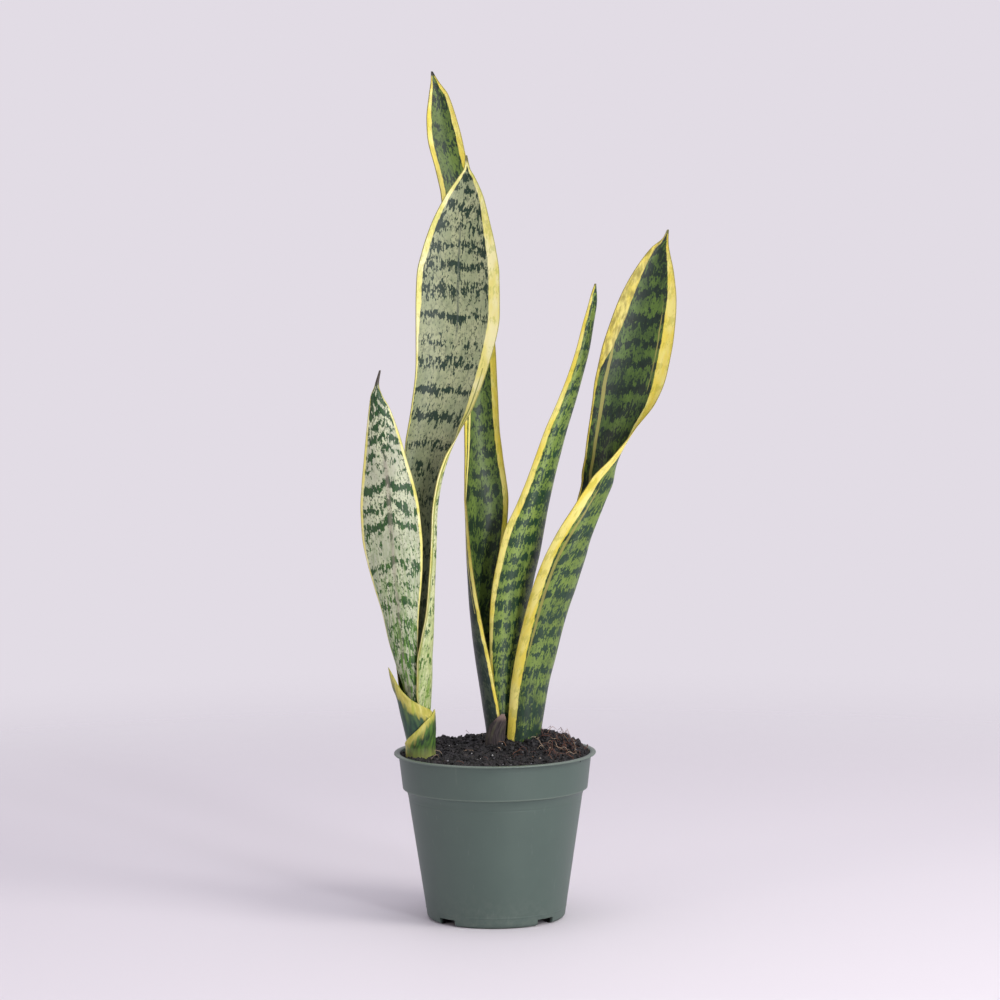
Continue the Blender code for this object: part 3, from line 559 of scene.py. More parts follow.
CRUMBS, CHIPS, GRAINS, FIBRES, BY_RIGHT_SHOOT = 7800, 420, 70, 110, 85
rng = np.random.default_rng(11)
x, y = in_the_pot(rng, CRUMBS, 0.6)
sizes = 0.45 + 1.35 * rng.uniform(0, 1, CRUMBS) ** 2.0
crumbs = scatter_grains("mix_crumbs", lay(x, y, 0.35 * sizes), sizes, 0.9, 0, 0.22, rng)
x, y = in_the_pot(rng, CHIPS, 2.5)
sizes = rng.uniform(1.3, 2.4, CHIPS)
chips = scatter_grains("bark_chips", lay(x, y, 0.2 * sizes), sizes, 1.1, 0, 0.25, rng)
x, y = in_the_pot(rng, GRAINS, 2.0)
sizes = rng.uniform(0.25, 0.6, GRAINS)
perlite = scatter_grains("perlite_grains", lay(x, y, 1.5), sizes, 0.5, 1, 0.16, rng)


def fibre_mesh(name, starts, headings, lengths, radii, rng):
    """Thin curly tubes: each heads off over the soil, turns steadily and by a wave, lifts and thins to its end."""
    rings, sides, count = 11, 4, len(starts)
    t = np.linspace(0.0, 1.0, rings)
    turn = rng.uniform(-1.6, 1.6, (count, 1)) * t
    curl = 0.5 * np.sin(t * rng.uniform(3, 9, (count, 1)) + rng.uniform(0, 6, (count, 1)))
    heading = headings[:, None] + (turn + curl)
    step = lengths[:, None] / (rings - 1)
    x = starts[:, :1] + np.cumsum(np.cos(heading) * step, axis=1)
    y = starts[:, 1:2] + np.cumsum(np.sin(heading) * step, axis=1)
    reach = np.hypot(x, y)
    x, y = x * np.minimum(1, (SOIL_RADIUS - 1) / reach), y * np.minimum(1, (SOIL_RADIUS - 1) / reach)
    lift = 0.8 + rng.uniform(0.4, 4.2, (count, 1)) * np.sin(math.pi * t) + rng.uniform(0.2, 2.6, (count, 1)) * t
    path = np.stack([x, y, soil_level(x, y) + 0.7 + lift], axis=-1)
    along = np.gradient(path, axis=1)
    along /= np.linalg.norm(along, axis=-1, keepdims=True) + 1e-9
    side = np.cross(along, np.array([0.0, 0.0, 1.0]))
    side /= np.linalg.norm(side, axis=-1, keepdims=True) + 1e-9
    up = np.cross(side, along)
    angle = np.arange(sides) * 2 * math.pi / sides
    thin = (radii[:, None] * (1 - 0.75 * t**3))[..., None, None]
    spoke = side[:, :, None] * np.cos(angle)[:, None] + up[:, :, None] * np.sin(angle)[:, None]
    tube = path[:, :, None] + thin * spoke
    faces = (ring_faces(rings, sides)[None] + (np.arange(count) * rings * sides)[:, None, None]).reshape(-1, 4)
    ends = np.arange(sides)
    caps = [(ends[::-1] + k * rings * sides).tolist() for k in range(count)]
    caps += [(ends + (k + 1) * rings * sides - sides).tolist() for k in range(count)]
    obj = mesh_object(name, tube.reshape(-1, 3), faces.tolist() + caps)
    give_values(obj, tone=np.repeat(rng.uniform(0, 1, count), rings * sides))
    return obj


x, y = in_the_pot(rng, FIBRES, 4.0)
x[:BY_RIGHT_SHOOT] = rng.normal(52.0, 12.0, BY_RIGHT_SHOOT)
y[:BY_RIGHT_SHOOT] = rng.normal(4.0, 18.0, BY_RIGHT_SHOOT)
inside = np.hypot(x, y) < SOIL_RADIUS - 2
starts = np.column_stack([x, y])[inside]
count = len(starts)
headings, lengths, radii = rng.uniform(0, 6.28, count), rng.uniform(4, 12, count), rng.uniform(0.11, 0.24, count)
fibres = fibre_mesh("coir_fibres", starts, headings, lengths, radii, rng)
print(CRUMBS, "crumbs,", CHIPS, "chips,", GRAINS, "grains and", count, "fibres")

# %% [markdown]
# Moist peat is almost black with a faint cool cast, and each crumb is a little different. Composted bark is the same in
# flatter, slightly browner chips. Perlite is puffed volcanic glass: chalky white grains. Coir is the husk fibre of a
# coconut: wiry, red-brown, and straw-coloured where it has dried.

# %% Soil finishes
def toned(name, colours, rough, spread=1.0, grain=900.0, depth=0.0004):
    """A material that picks each grain's colour from a ramp by its own random number. Fine noise makes it lighter or
    darker by half its spread, and is its bump too. Grain is the noise's scale, and depth the bump's in metres."""
    material, tree, shader = new_material(name, Roughness=rough)
    tone = add(tree, "number", attribute_name="tone")
    ramp = add(tree, "ramp", tone)
    stops = ramp.node.color_ramp.elements
    for _ in colours[2:]:
        stops.new(0.5)
    for index, (at, colour) in enumerate(colours):
        stops[index].position, stops[index].color = at, shade(colour)
    place = add(tree, "place")
    speck = add(tree, "noise", place, Scale=grain, Detail=3.0)
    light = add(tree, "plus", 1.0, add(tree, "times", add(tree, "minus", speck, 0.5), spread))
    colour = add(tree, "brighten", ramp, light)
    bump = add(tree, "bump", Strength=0.6, Distance=depth, Height=speck)
    wire(tree, shader, Base_Color=colour, Normal=bump)
    return material


peat = toned("moist_peat", [(0.0, "#08080B"), (0.6, "#121116"), (0.86, "#1C1A20"), (1.0, "#2B2527")], 0.62)
bark = toned("composted_bark", [(0.0, "#0B0A0D"), (0.6, "#151317"), (1.0, "#282124")], 0.6)
glass = toned("perlite", [(0.0, "#85868E"), (0.6, "#B4B5BA"), (1.0, "#DCDDDE")], 0.8, spread=0.3)
coir = toned("coir_fibre", [(0.0, "#4A2E26"), (0.45, "#73493A"), (0.8, "#A08068"), (1.0, "#CDBBA4")], 0.6, spread=0.5)
give_values(soil, tone=np.full(len(soil.data.vertices), 0.35))
finish_piece(soil, peat, "soil", "soil")
finish_piece(crumbs, peat, "soil")
finish_piece(chips, bark, "soil")
finish_piece(perlite, glass, "soil")
finish_piece(fibres, coir, "soil")

# %% [markdown]
# ## The leaves
#
# A snake plant leaf is a stiff, thick blade that grows as a channel and opens flat towards its top. Each leaf below is
# a list of level sections from base to tip, the same ones as in the CAD: height, x and y of the midrib, the heading
# that the channel opens to, half width, depth, and the angle that the section's arc wraps through.

# %% Sections
LEFT_TALL_LEAF = [
    (103, -52.5, -1.8, -125, 7, 11, 250),
    (135, -53.7, -2, -125, 7.2, 11.3, 250),
    (142, -53.8, -1.5, -126, 7.9, 12.5, 252),
    (150, -53.9, -0.7, -127, 8.9, 14.3, 255),
    (161, -54.1, 0, -129, 10, 16.4, 260),
    (169, -54, 0.4, -131, 11.4, 17.7, 264),
    (180, -53.8, 0.8, -134, 13.4, 18.8, 270),
    (200, -54.5, 1.8, -135, 16.2, 18.8, 268),
    (220, -56.8, 2.6, -126, 18, 18, 260),
    (240, -58.7, 3, -119, 19.2, 16.5, 242),
    (260, -58.9, 3.2, -116, 19, 15, 234),
    (280, -57.7, 3.4, -115, 18.2, 14.2, 230),
    (300, -56.1, 3.4, -115, 17.3, 13.8, 230),
    (320, -54.9, 3.2, -115, 17, 13.5, 230),
    (340, -52, 3, -115, 17.2, 13.5, 228),
    (360, -47.6, 2.8, -113, 18, 13, 220),
    (380, -42.8, 2.8, -104, 20.4, 11, 170),
    (400, -37, 3, -96, 24, 9, 128),
    (430, -30.3, 3, -92, 28, 8, 95),
    (470, -26, 3.5, -90, 32.2, 7.5, 75),
    (500, -25.4, 4, -90, 31.8, 7, 70),
    (520, -24.4, 4.5, -90, 28.2, 6, 68),
    (540, -22.9, 5, -90, 22.5, 4.8, 68),
    (560, -20.2, 5.5, -90, 14.8, 3.2, 66),
    (576, -18.2, 6, -90, 5.8, 1.4, 60),
    (582, -17.9, 6, -90, 2.2, 0.7, 50),
    (592, -18.4, 6, -90, 0.7, 0.2, 40),
]
LEFT_SHORT_LEAF = [
    (103, -58.9, -10.4, 52, 4.8, 4, 150),
    (135, -59.9, -11, 52, 5.2, 4.2, 150),
    (160, -63.8, -13.6, 56, 7.2, 5, 130),
    (180, -65.6, -14.6, 62, 8, 5, 115),
    (200, -69, -16, 70, 9.4, 5, 100),
    (220, -71.6, -17.5, 76, 11.8, 5.2, 92),
    (240, -73, -19, 80, 14.3, 5.5, 85),
    (260, -74.6, -20.5, 83, 18.2, 6.2, 80),
    (280, -76.4, -22, 86, 21.3, 6.6, 76),
    (300, -78, -23.5, 88, 22.9, 6.8, 74),
    (320, -79.1, -25, 90, 22.5, 6.4, 72),
    (340, -80.4, -26, 90, 20.1, 5.6, 70),
    (360, -82.2, -27, 90, 16.3, 4.5, 70),
    (380, -84, -28, 90, 12.4, 3.4, 70),
    (400, -86.4, -28.5, 90, 7.6, 2.2, 70),
    (411, -88.4, -28.5, 90, 3.6, 1.2, 64),
    (417, -88, -28.5, 90, 1.6, 0.6, 50),
    (428.6, -85.4, -28.5, 90, 0.6, 0.2, 40),
]
BACK_TALL_LEAF = [
    (103, -4, 26.5, 0, 9, 9, 190),
    (140, -6, 26.5, 0, 10.8, 11.3, 200),
    (160, -8.7, 26.5, -1, 11.5, 12.2, 200),
    (180, -11.4, 26.5, -6, 12.5, 12.5, 200),
    (200, -14, 27, -12, 13.5, 13.5, 198),
    (220, -15.6, 28.5, -20, 14.5, 13.5, 195),
    (240, -16.2, 30.5, -28, 15.5, 13.5, 192),
    (260, -15.3, 33, -38, 16.5, 13.5, 190),
    (280, -14, 35, -46, 17.5, 13.3, 186),
    (300, -11.9, 37, -54, 18.4, 12.8, 182),
    (320, -10.4, 38.5, -60, 18.8, 11.8, 178),
    (340, -9.4, 39.5, -68, 16.8, 10, 165),
    (360, -9.4, 40.5, -75, 14.8, 8.5, 150),
    (400, -10, 42, -80, 13.5, 7, 130),
    (440, -12.2, 43.5, -80, 14, 6.5, 115),
    (500, -19.7, 46, -80, 15, 6, 100),
    (560, -25.8, 48.5, -80, 13.8, 5, 90),
    (580, -30, 49.5, -80, 13.6, 4.6, 85),
    (600, -35, 50.5, -80, 13.4, 4.3, 82),
    (620, -38.1, 51.5, -80, 11.7, 3.8, 80),
    (640, -40.3, 52.5, -80, 7.3, 2.6, 76),
    (650, -43, 53, -80, 3, 1.2, 66),
    (658, -45.1, 53, -80, 0.6, 0.2, 40),
]
MIDDLE_NARROW_LEAF = [
    (103, 8.5, 20.5, 130, 5, 3, 150),
    (140, 9.8, 19.8, 130, 6.5, 4, 150),
    (160, 10.6, 20, 130, 9, 5.4, 150),
    (180, 11.8, 20.8, 130, 12, 7.2, 150),
    (200, 13.6, 21.5, 130, 14.6, 8.8, 150),
    (220, 16.2, 22, 130, 17, 10.2, 150),
    (240, 19, 22, 130, 18.8, 11.3, 150),
    (260, 22.6, 22, 130, 20, 12, 150),
    (280, 27.2, 21.5, 130, 20.4, 12.2, 150),
    (300, 31.3, 21.5, 130, 19.4, 11.7, 150),
    (320, 36.6, 22, 130, 16, 9.6, 150),
    (340, 42, 22.5, 130, 13.4, 8, 150),
    (360, 47.8, 23.5, 130, 11.9, 7.1, 150),
    (380, 54.1, 24.5, 130, 10.6, 6.4, 150),
    (400, 61, 26, 130, 8.8, 5.3, 150),
    (420, 67.3, 27.3, 130, 7.4, 4.4, 148),
    (440, 72.9, 28.5, 130, 6.2, 3.7, 145),
    (460, 77, 29.5, 130, 5.2, 3, 140),
    (480, 80.6, 30.5, 130, 3.4, 1.9, 130),
    (492, 81.3, 31, 130, 0.7, 0.3, 90),
]
RIGHT_TWISTED_LEAF = [
    (103, 22.5, 13.5, 125, 11, 9, 180),
    (140, 28.6, 12, 125, 14.4, 12, 180),
    (160, 31.4, 11.5, 125, 15.6, 12.8, 180),
    (180, 34.5, 11, 125, 16.6, 13.6, 180),
    (200, 39, 10, 125, 17.8, 14, 180),
    (220, 44.2, 9, 126, 18.3, 15, 180),
    (240, 50.2, 8, 128, 19.4, 15.5, 180),
    (260, 58.2, 7.5, 134, 20.8, 17, 180),
    (280, 67.5, 7.5, 142, 20, 20, 180),
    (300, 77, 8.5, 160, 15.5, 23.5, 180),
    (325, 87.5, 12, 178, 14, 21.5, 180),
    (340, 93, 15, 190, 15.5, 21, 180),
    (360, 94.6, 17, 216, 18, 14.5, 178),
    (380, 98.4, 17.5, 238, 20.6, 11, 150),
    (400, 104.6, 17.5, 253, 25.4, 9, 115),
    (420, 108.7, 17, 262, 27.4, 8, 95),
    (440, 112.6, 16.5, 266, 27.3, 7.5, 85),
    (460, 116.9, 16, 267, 25.2, 7, 80),
    (480, 121.2, 15.5, 268, 21.9, 6, 78),
    (500, 125.4, 15, 268, 15.8, 4.4, 76),
    (520, 131, 14.5, 268, 6.6, 2.2, 72),
    (527, 135.2, 14.5, 268, 2.2, 0.8, 60),
    (533.7, 137.1, 14.5, 268, 0.6, 0.2, 40),
]
LEFT_INNER_SHEATH = [
    (103, -65.3, -9.8, 15, 9.2, 17.8, 320),
    (135, -66.9, -10.3, 15, 9.4, 18.2, 320),
    (142, -68.2, -10.4, 15, 10.1, 19.6, 320),
    (150, -69.9, -10.6, 15, 11.1, 21.5, 318),
    (161, -72.4, -10.9, 15, 12.6, 24.2, 316),
    (163, -72.8, -10.9, 15, 13, 23, 290),
    (165, -73.2, -10.9, 15, 13.2, 21.2, 255),
    (169, -74, -10.9, 15, 13.4, 14.2, 186),
    (175, -75.4, -11.6, 18, 11.6, 5.9, 108),
    (181, -77.9, -10.4, 20, 8, 3, 80),
    (190, -80.2, -10.2, 20, 4.2, 1.3, 60),
    (197.3, -82, -10.2, 20, 0.8, 0.2, 30),
]
LEFT_OUTER_SHEATH = [
    (103, -46, -10.2, 165, 11.1, 21.2, 320),
    (135, -47, -10.7, 165, 11.4, 21.7, 316),
    (138, -46.8, -10.5, 167, 12, 21.6, 286),
    (142, -46.6, -9.9, 170, 12.7, 19.6, 250),
    (146, -46.2, -9.3, 173, 13.2, 16.4, 212),
    (150, -46, -8.7, 176, 13.5, 12.8, 175),
    (157, -46.2, -8.3, 178, 11.9, 6.4, 116),
    (161, -46.4, -8.3, 179, 6, 1.8, 64),
    (164.3, -46.5, -8.3, 180, 0.9, 0.3, 40),
]
RIGHT_DRY_SHEATH = [
    (112, 1.5, 11.2, 90, 6.4, 2.2, 90),
    (137, 0, 10.4, 90, 7.8, 2.8, 90),
    (147, 2, 9.8, 92, 6.6, 2.2, 88),
    (153, 4.6, 9.6, 94, 4.2, 1.3, 80),
    (157.4, 6.4, 9.6, 95, 1.2, 0.3, 60),
]

# %% [markdown]
# ### From sections to a surface
#
# Cubics pass through every section without overshooting. Each level of the blade is an arc of an ellipse, thickest at
# the midrib. The blade also returns where each point is on the leaf, because the markings follow that.

# %% Blade surface
LEAF_THICKNESS = 1.6
SHEATH_THICKNESS = 1.1
SWAY = (190.0, 60.0, 30.0)  # the height it starts at, and the lengths it grows over and fades over below the tip


def slopes(x, y):
    """Slopes at the sections that never make the curve between them overshoot."""
    rate = np.diff(y, axis=0) / np.diff(x)[:, None]
    before, after = rate[:-1], rate[1:]
    same = before * after > 0
    inner = np.where(same, 2 * before * after / np.where(same, before + after, 1.0), 0.0)
    return np.vstack([rate[:1], inner, rate[-1:]])


def smooth_through(sections, heights):
    """The sections' values at the heights, by cubics that pass through every section."""
    x, y = sections[:, 0], sections[:, 1:]
    m = slopes(x, y)
    i = np.clip(np.searchsorted(x, heights, side="right") - 1, 0, len(x) - 2)
    step = (x[i + 1] - x[i])[:, None]
    t = ((heights - x[i]) / (x[i + 1] - x[i]))[:, None]
    start = (1 + 2 * t) * (1 - t) ** 2 * y[i] + t * (1 - t) ** 2 * step * m[i]
    return start + t**2 * (3 - 2 * t) * y[i + 1] + t**2 * (t - 1) * step * m[i + 1]


def from_edge(points, edge):
    """Distance from each point to a margin's line of points."""
    best = np.full(len(points), 1e9)
    for chunk in np.array_split(edge, max(1, len(edge) // 60)):
        best = np.minimum(best, np.linalg.norm(points[:, None] - chunk[None], axis=-1).min(1))
    return best


def blade(name, sections, thickness, columns, pitch, wave=0.0, seed=1):
    """A closed blade. Each level section is an ellipse's arc of the given wrap, thick at the midrib and thin at the
    margins, with a rounded margin. Wave is the size in millimetres of the slow lumps that the upper blade sways by.
    Returns the object and, for each point, its share across, its signed distance from the midrib, its height, which
    face it is on (0 outer, 1 inner), and its distance from each margin and the tip."""
    sections = np.array(sections)
    low, high = sections[0, 0], sections[-1, 0]
    heights = np.linspace(low, high, int((high - low) / pitch) + 1)
    x, y, heading, half, depth, wrap = smooth_through(sections, heights).T[:, :, None]
    heading, bend = np.radians(heading), np.radians(wrap) / 2
    u = np.linspace(-1.0, 1.0, columns)[None, :]
    angle = u * bend
    reach, fall = np.sin(np.minimum(bend, math.pi / 2)), 1 - np.cos(bend)
    across, inward = half * np.sin(angle) / reach, depth * (1 - np.cos(angle)) / fall
    across_rate, inward_rate = half * np.cos(angle) / reach, depth * np.sin(angle) / fall
    facing = np.array([np.cos(heading), np.sin(heading)])
    beside = np.array([-np.sin(heading), np.cos(heading)])
    middle = np.array([x, y]) + inward * facing + across * beside
    along = inward_rate * facing + across_rate * beside
    length = np.linalg.norm(along, axis=0)
    along /= length
    out = np.array([-along[1], along[0]])
    taper = np.clip(half / 4.0, 0.45, 1.0)
    tall = np.broadcast_to(heights[:, None], middle.shape[1:])
    start, grows, fades = SWAY
    sway = wave * np.clip((tall - start) / grows, 0.0, 1.0) * np.clip((high - tall) / fades, 0.0, 1.0)
    ruffle = u**2 * lumps(np.sign(u) * 40 + 0 * tall, tall, 21.0, seed + 1)
    middle = middle + out * sway * (lumps(u * 2.0 + 5 + 0 * tall, tall, 34.0, seed) * 0.6 + ruffle)
    offset = out * thickness * taper * (1 - 0.5 * u**2) / 2
    outer, inner = middle + offset, middle - offset
    bulge = thickness * taper[:, 0] * 0.2
    left = middle[:, :, 0] - along[:, :, 0] * bulge
    right = middle[:, :, -1] + along[:, :, -1] * bulge
    ring = np.concatenate([outer, right[:, :, None], inner[:, :, ::-1], left[:, :, None]], axis=2)
    rings = np.stack([ring[0], ring[1], np.broadcast_to(heights[:, None], ring.shape[1:])], axis=-1)
    count, width = rings.shape[:2]
    faces = ring_faces(count, width).tolist()
    faces += [tuple(range(width))[::-1], tuple(range((count - 1) * width, count * width))]
    points = rings.reshape(-1, 3)
    obj = mesh_object(name, points, faces)
    arc_step = length * bend * (2.0 / (columns - 1))
    run = np.cumsum(arc_step, axis=1)
    run = run - run[:, columns // 2][:, None]
    one = np.ones_like(run[:, :1])
    share = np.concatenate([u * one, one, u[:, ::-1] * one, -one], axis=1)
    signed = np.concatenate([run, run[:, -1:], run[:, ::-1], run[:, :1]], axis=1)
    face = np.concatenate([0 * run, 0.5 * one, 0 * run + 1, 0.5 * one], axis=1)
    edges = [from_edge(points, rings[:, index]) for index in (columns, 2 * columns + 1)]
    facts = {"share": share.ravel(), "signed": signed.ravel(), "face": face.ravel()}
    facts.update(right=edges[0], left=edges[1], z=points[:, 2], tip=high - points[:, 2], low=low)
    return obj, facts


def strip_map(obj, facts):
    """A UV map in metres: U is the distance from the midrib across the face, V is the height up the leaf."""
    index = np.empty(len(obj.data.loops), np.int32)
    obj.data.loops.foreach_get("vertex_index", index)
    layer = obj.data.uv_layers.new(name="strip")
    values = np.column_stack([facts["signed"], facts["z"]])[index] * MM
    layer.data.foreach_set("uv", values.astype(np.float32).ravel())


# %% [markdown]
# ## Bands, flecks and margins
#
# The leaf's dark bands run across it and break into combs along the veins. Where the bands lie is set by a short list
# for each leaf. The yellow margins are tissue without green, wider on one side than on the other, and in places a
# second thin yellow stripe runs inside them. These are stored as numbers on the points, and the material adds the fine
# combs and flecks to them, at the scale of the veins.

# %% Where the markings lie
def markings(obj, facts, bands, keel, rims, stripes=(), tilt=0.0, crowd=()):
    """Stores each point's band strength, distance inside the yellow margins and distance outside the thin stripes.
    A band is (height, half thickness, strength), a bell curve along the leaf. Keel is how far a band drops from margin
    to midrib, and tilt how far it drops from midrib to right margin. Rims give each margin's width as (height, width),
    stripes give (height, distance from the margin, half width), and crowd rows are (height, strength) of blotches
    along both margins."""
    z, u, run = facts["z"], facts["share"], facts["signed"]
    level = z + keel * (1 - np.abs(u)) ** 2.2 + tilt * u
    level = level + 2.2 * lumps(run, z, 9.0, 21) + 1.6 * lumps(run, z, 3.7, 22)
    band = np.zeros(len(z))
    for height, half, strength in bands:
        band = np.maximum(band, strength * np.exp(-(((level - height) / half) ** 2)))
    if len(crowd):
        patch = 0.55 + 0.6 * lumps(run, z, 5.2, 27)
        outward = np.clip(np.abs(u) * 2.2 - 0.7, 0.0, 1.0)
        band = np.maximum(band, np.interp(z, *np.array(crowd).T) * patch * outward)
    rim = np.minimum(*[facts[side] - np.interp(z, *np.array(rims[side]).T) for side in ("right", "left")])
    stripe = np.full(len(z), 9.0)
    for side, rows in stripes:
        heights, offsets, halves = np.array(rows).T
        line = np.abs(facts[side] - np.interp(z, heights, offsets)) - np.interp(z, heights, halves)
        stripe = np.minimum(stripe, np.where((z < heights[0]) | (z > heights[-1]), 9.0, line))
    edge = np.minimum(facts["right"], facts["left"])
    give_values(obj, band=band, rim=rim, stripe=stripe, edge=edge, inner=facts["face"], tip=facts["tip"])
    give_values(obj, base=z - facts["low"], middle=np.abs(run), side=u)


# %% [markdown]
# ### The skin of a leaf
#
# Living leaf tissue under a thin natural wax. Light goes a little way in, so thin parts glow softly, and the wax gives
# a broad satin sheen that breaks up along the veins. The veins are drawn 0.7 mm apart and the flecks 1.3 by 2.6 mm.
# Each face has its own grounds, because the outer one is paler on some leaves. Low on the leaf the skin turns to the
# foot's green, and painted shade darkens the inner face down in the channel. The midrib carries a real tint on one
# leaf's back and painted shade in another's crease, and the tip ends in a small dead spine.

# %% Leaf skin
FLESH = (0.6, 1.0, 0.3)
RIM = ("#EBD858", "#F3E788", "#B0AE3A", "#7A6C26")
PALE_RIM = ("#EBE286", "#F4EEB4", "#AEB548", "#7C7830")
NO_KEEL_TINT = ("#8C8681", 0.0, 3.4, -50.0, 999.0)
GREEN_FOOT = ("#20352C", 30.0, 0.6)
NO_PAINTED_HOLLOW_SHADE = ("#33463A", 200.0, 0.0)


def waxy_leaf(
    name, seed, outer, inner, rim, tip_length, fleck=0.5, spine="#4A3F33", keel_tint_and_crease_shade=NO_KEEL_TINT,
    base_tint=GREEN_FOOT, painted_hollow_shade=NO_PAINTED_HOLLOW_SHADE, density=0.0, blotch=0.6, stripe=None, dull=0.1,
):
    """Leaf skin. Outer and inner are (ground, second ground, dark, second dark) for the two faces. Rim is the margin's
    two yellows, the olive where a band crosses it and its outermost line. Fleck is the strength of single flecks away
    from the bands, density adds to every band, and blotch is how unevenly the bands are filled. Keel tint and crease
    shade is a colour, its strength, half width and range of heights: a real tint along one leaf's keel and painted
    shade in another's midrib crease. Base tint and the painted hollow shade are a colour, its reach above the soil and
    strength, for the whole foot and for the inner face; the second is painted shade where little light reaches down
    into the channel. Stripe is the thin stripes' colour. Dull is how brown the left margin is on the upper half. The
    spine is the colour of the last few millimetres, tip length."""
    material, tree, shader = new_material(
        name, IOR=1.42, Subsurface_Weight=0.1, Subsurface_Radius=FLESH, Subsurface_Scale=0.0012
    )
    keys = ("band", "rim", "stripe", "edge", "inner", "tip", "base", "middle", "side")
    value = {key: add(tree, "number", attribute_name=key) for key in keys}
    strip = add(tree, "strip")
    place = add(tree, "shift", strip, (0.37 * seed, 0.61 * seed, 0.0))
    layer = add(tree, "lift", add(tree, "times", value["inner"], 7.0))

    def grains(across_mm, along_mm, detail, rough=0.55):
        """Noise whose grains are the given size across and along the leaf."""
        sized = add(tree, "stretch", place, (1000 / across_mm, 1000 / along_mm, 0.0))
        moved = add(tree, "shift", sized, layer)
        return add(tree, "noise", moved, Scale=1.0, Detail=detail, Roughness=rough)

    comb, flecks = grains(1.5, 6.0, 2.0), grains(1.3, 2.6, 2.0)
    cloud, vein = grains(11.0, 30.0, 2.0), grains(0.7, 60.0, 1.0)
    combed = add(tree, "times", add(tree, "minus", comb, 0.5), 2.3)
    push = add(tree, "plus", combed, add(tree, "times", add(tree, "minus", flecks, 0.5), 1.5))
    uneven = add(tree, "times", add(tree, "minus", grains(4.5, 9.0, 1.0), 0.5 - density), blotch * 2.0)
    dense = add(tree, "plus", add(tree, "plus", value["band"], push), uneven)
    dark = add(tree, "ease", dense, 0.36, 0.62)
    drift = add(tree, "times", add(tree, "minus", cloud, 0.5), 0.45)
    lone = add(tree, "ease", add(tree, "plus", flecks, drift), 0.575, 0.65)
    dark = add(tree, "larger", dark, add(tree, "times", lone, fleck))
    mottle = add(tree, "times", add(tree, "ease", grains(2.6, 5.5, 3.0, 0.65), 0.46, 0.72), 0.5)
    faces = []
    for ground, second, deep, deeper in (outer, inner):
        paper = add(tree, "mix", add(tree, "ease", cloud, 0.35, 0.65), ground, second)
        paper = add(tree, "mix", mottle, paper, deeper)
        paper = add(tree, "mix", add(tree, "times", add(tree, "ease", vein, 0.45, 0.7), 0.22), paper, second)
        ink = add(tree, "mix", add(tree, "ease", comb, 0.35, 0.65), deep, deeper)
        faces.append(add(tree, "mix", dark, paper, ink))
    skin = add(tree, "mix", add(tree, "ease", value["inner"], 0.4, 0.6), *faces)
    # Along the midrib: a real pinkish tint on one leaf's back, and painted shade in the crease of another's fold.
    tint, strength, width, low, high = keel_tint_and_crease_shade
    above = add(tree, "ease", value["base"], low, low + 20.0)
    below = add(tree, "ease", value["base"], high, high - 20.0)
    keel = add(tree, "times", add(tree, "ease", value["middle"], width, width * 0.1), add(tree, "times", above, below))
    keel = add(tree, "times", keel, strength)
    skin = add(tree, "mix", keel, skin, tint)
    # Painted shade: the inner face darkens towards the foot, where little light reaches down into the channel.
    tint, reach, strength = painted_hollow_shade
    shaded = add(tree, "times", add(tree, "ease", value["base"], 30.0 + reach, 30.0), value["inner"])
    skin = add(tree, "mix", add(tree, "times", shaded, strength), skin, tint)
    tint, reach, strength = base_tint
    streaks = add(tree, "plus", 0.12, add(tree, "times", add(tree, "ease", grains(1.6, 16.0, 3.0), 0.44, 0.58), 0.88))
    foot = add(tree, "times", add(tree, "ease", value["base"], 34.0 + reach, 34.0), streaks)
    skin = add(tree, "mix", add(tree, "times", foot, strength), skin, tint)
    yellow, pale, olive, line = rim
    edge_colour = add(tree, "mix", add(tree, "ease", cloud, 0.4, 0.62), yellow, pale)
    cross = add(tree, "times", add(tree, "ease", dense, 0.5, 0.95), 0.4)
    edge_colour = add(tree, "mix", cross, edge_colour, olive)
    upper = add(tree, "ease", value["base"], 190.0, 250.0)
    browned = add(tree, "times", add(tree, "ease", value["side"], 0.1, -0.1), upper)
    patches = add(tree, "plus", 0.35, add(tree, "times", add(tree, "ease", grains(3.0, 9.0, 3.0), 0.38, 0.64), 0.65))
    browned = add(tree, "times", add(tree, "times", browned, patches), dull)
    edge_colour = add(tree, "mix", browned, edge_colour, line)
    wobble = add(tree, "times", add(tree, "minus", grains(2.0, 7.0, 2.0), 0.5), 1.6)
    in_rim = add(tree, "ease", add(tree, "plus", value["rim"], wobble), 0.35, -0.25)
    skin = add(tree, "mix", in_rim, skin, edge_colour)
    in_stripe = add(tree, "ease", add(tree, "plus", value["stripe"], add(tree, "times", wobble, 0.3)), 0.3, -0.15)
    skin = add(tree, "mix", add(tree, "times", in_stripe, 0.85), skin, stripe or pale)
    skin = add(tree, "mix", add(tree, "times", add(tree, "ease", value["edge"], 1.0, 0.4), 0.85), skin, line)
    skin = add(tree, "mix", add(tree, "ease", value["tip"], tip_length, tip_length * 0.55), skin, spine)
    rough = add(tree, "range", flecks, 0.3, 0.7, 0.34, 0.48)
    ridges = add(tree, "bump", Strength=0.35, Distance=0.00025, Height=vein)
    pores = add(tree, "bump", Strength=0.15, Distance=0.0002, Height=flecks, Normal=ridges)
    wire(tree, shader, Base_Color=skin, Roughness=rough, Normal=pores)
    return material


# %% [markdown]
# ### Building a leaf
#
# Each of the five leaves is one call: the CAD node it stands for, its sections, how finely it is divided, its sway, its
# skin, and where its markings lie, with heights in millimetres above the floor.

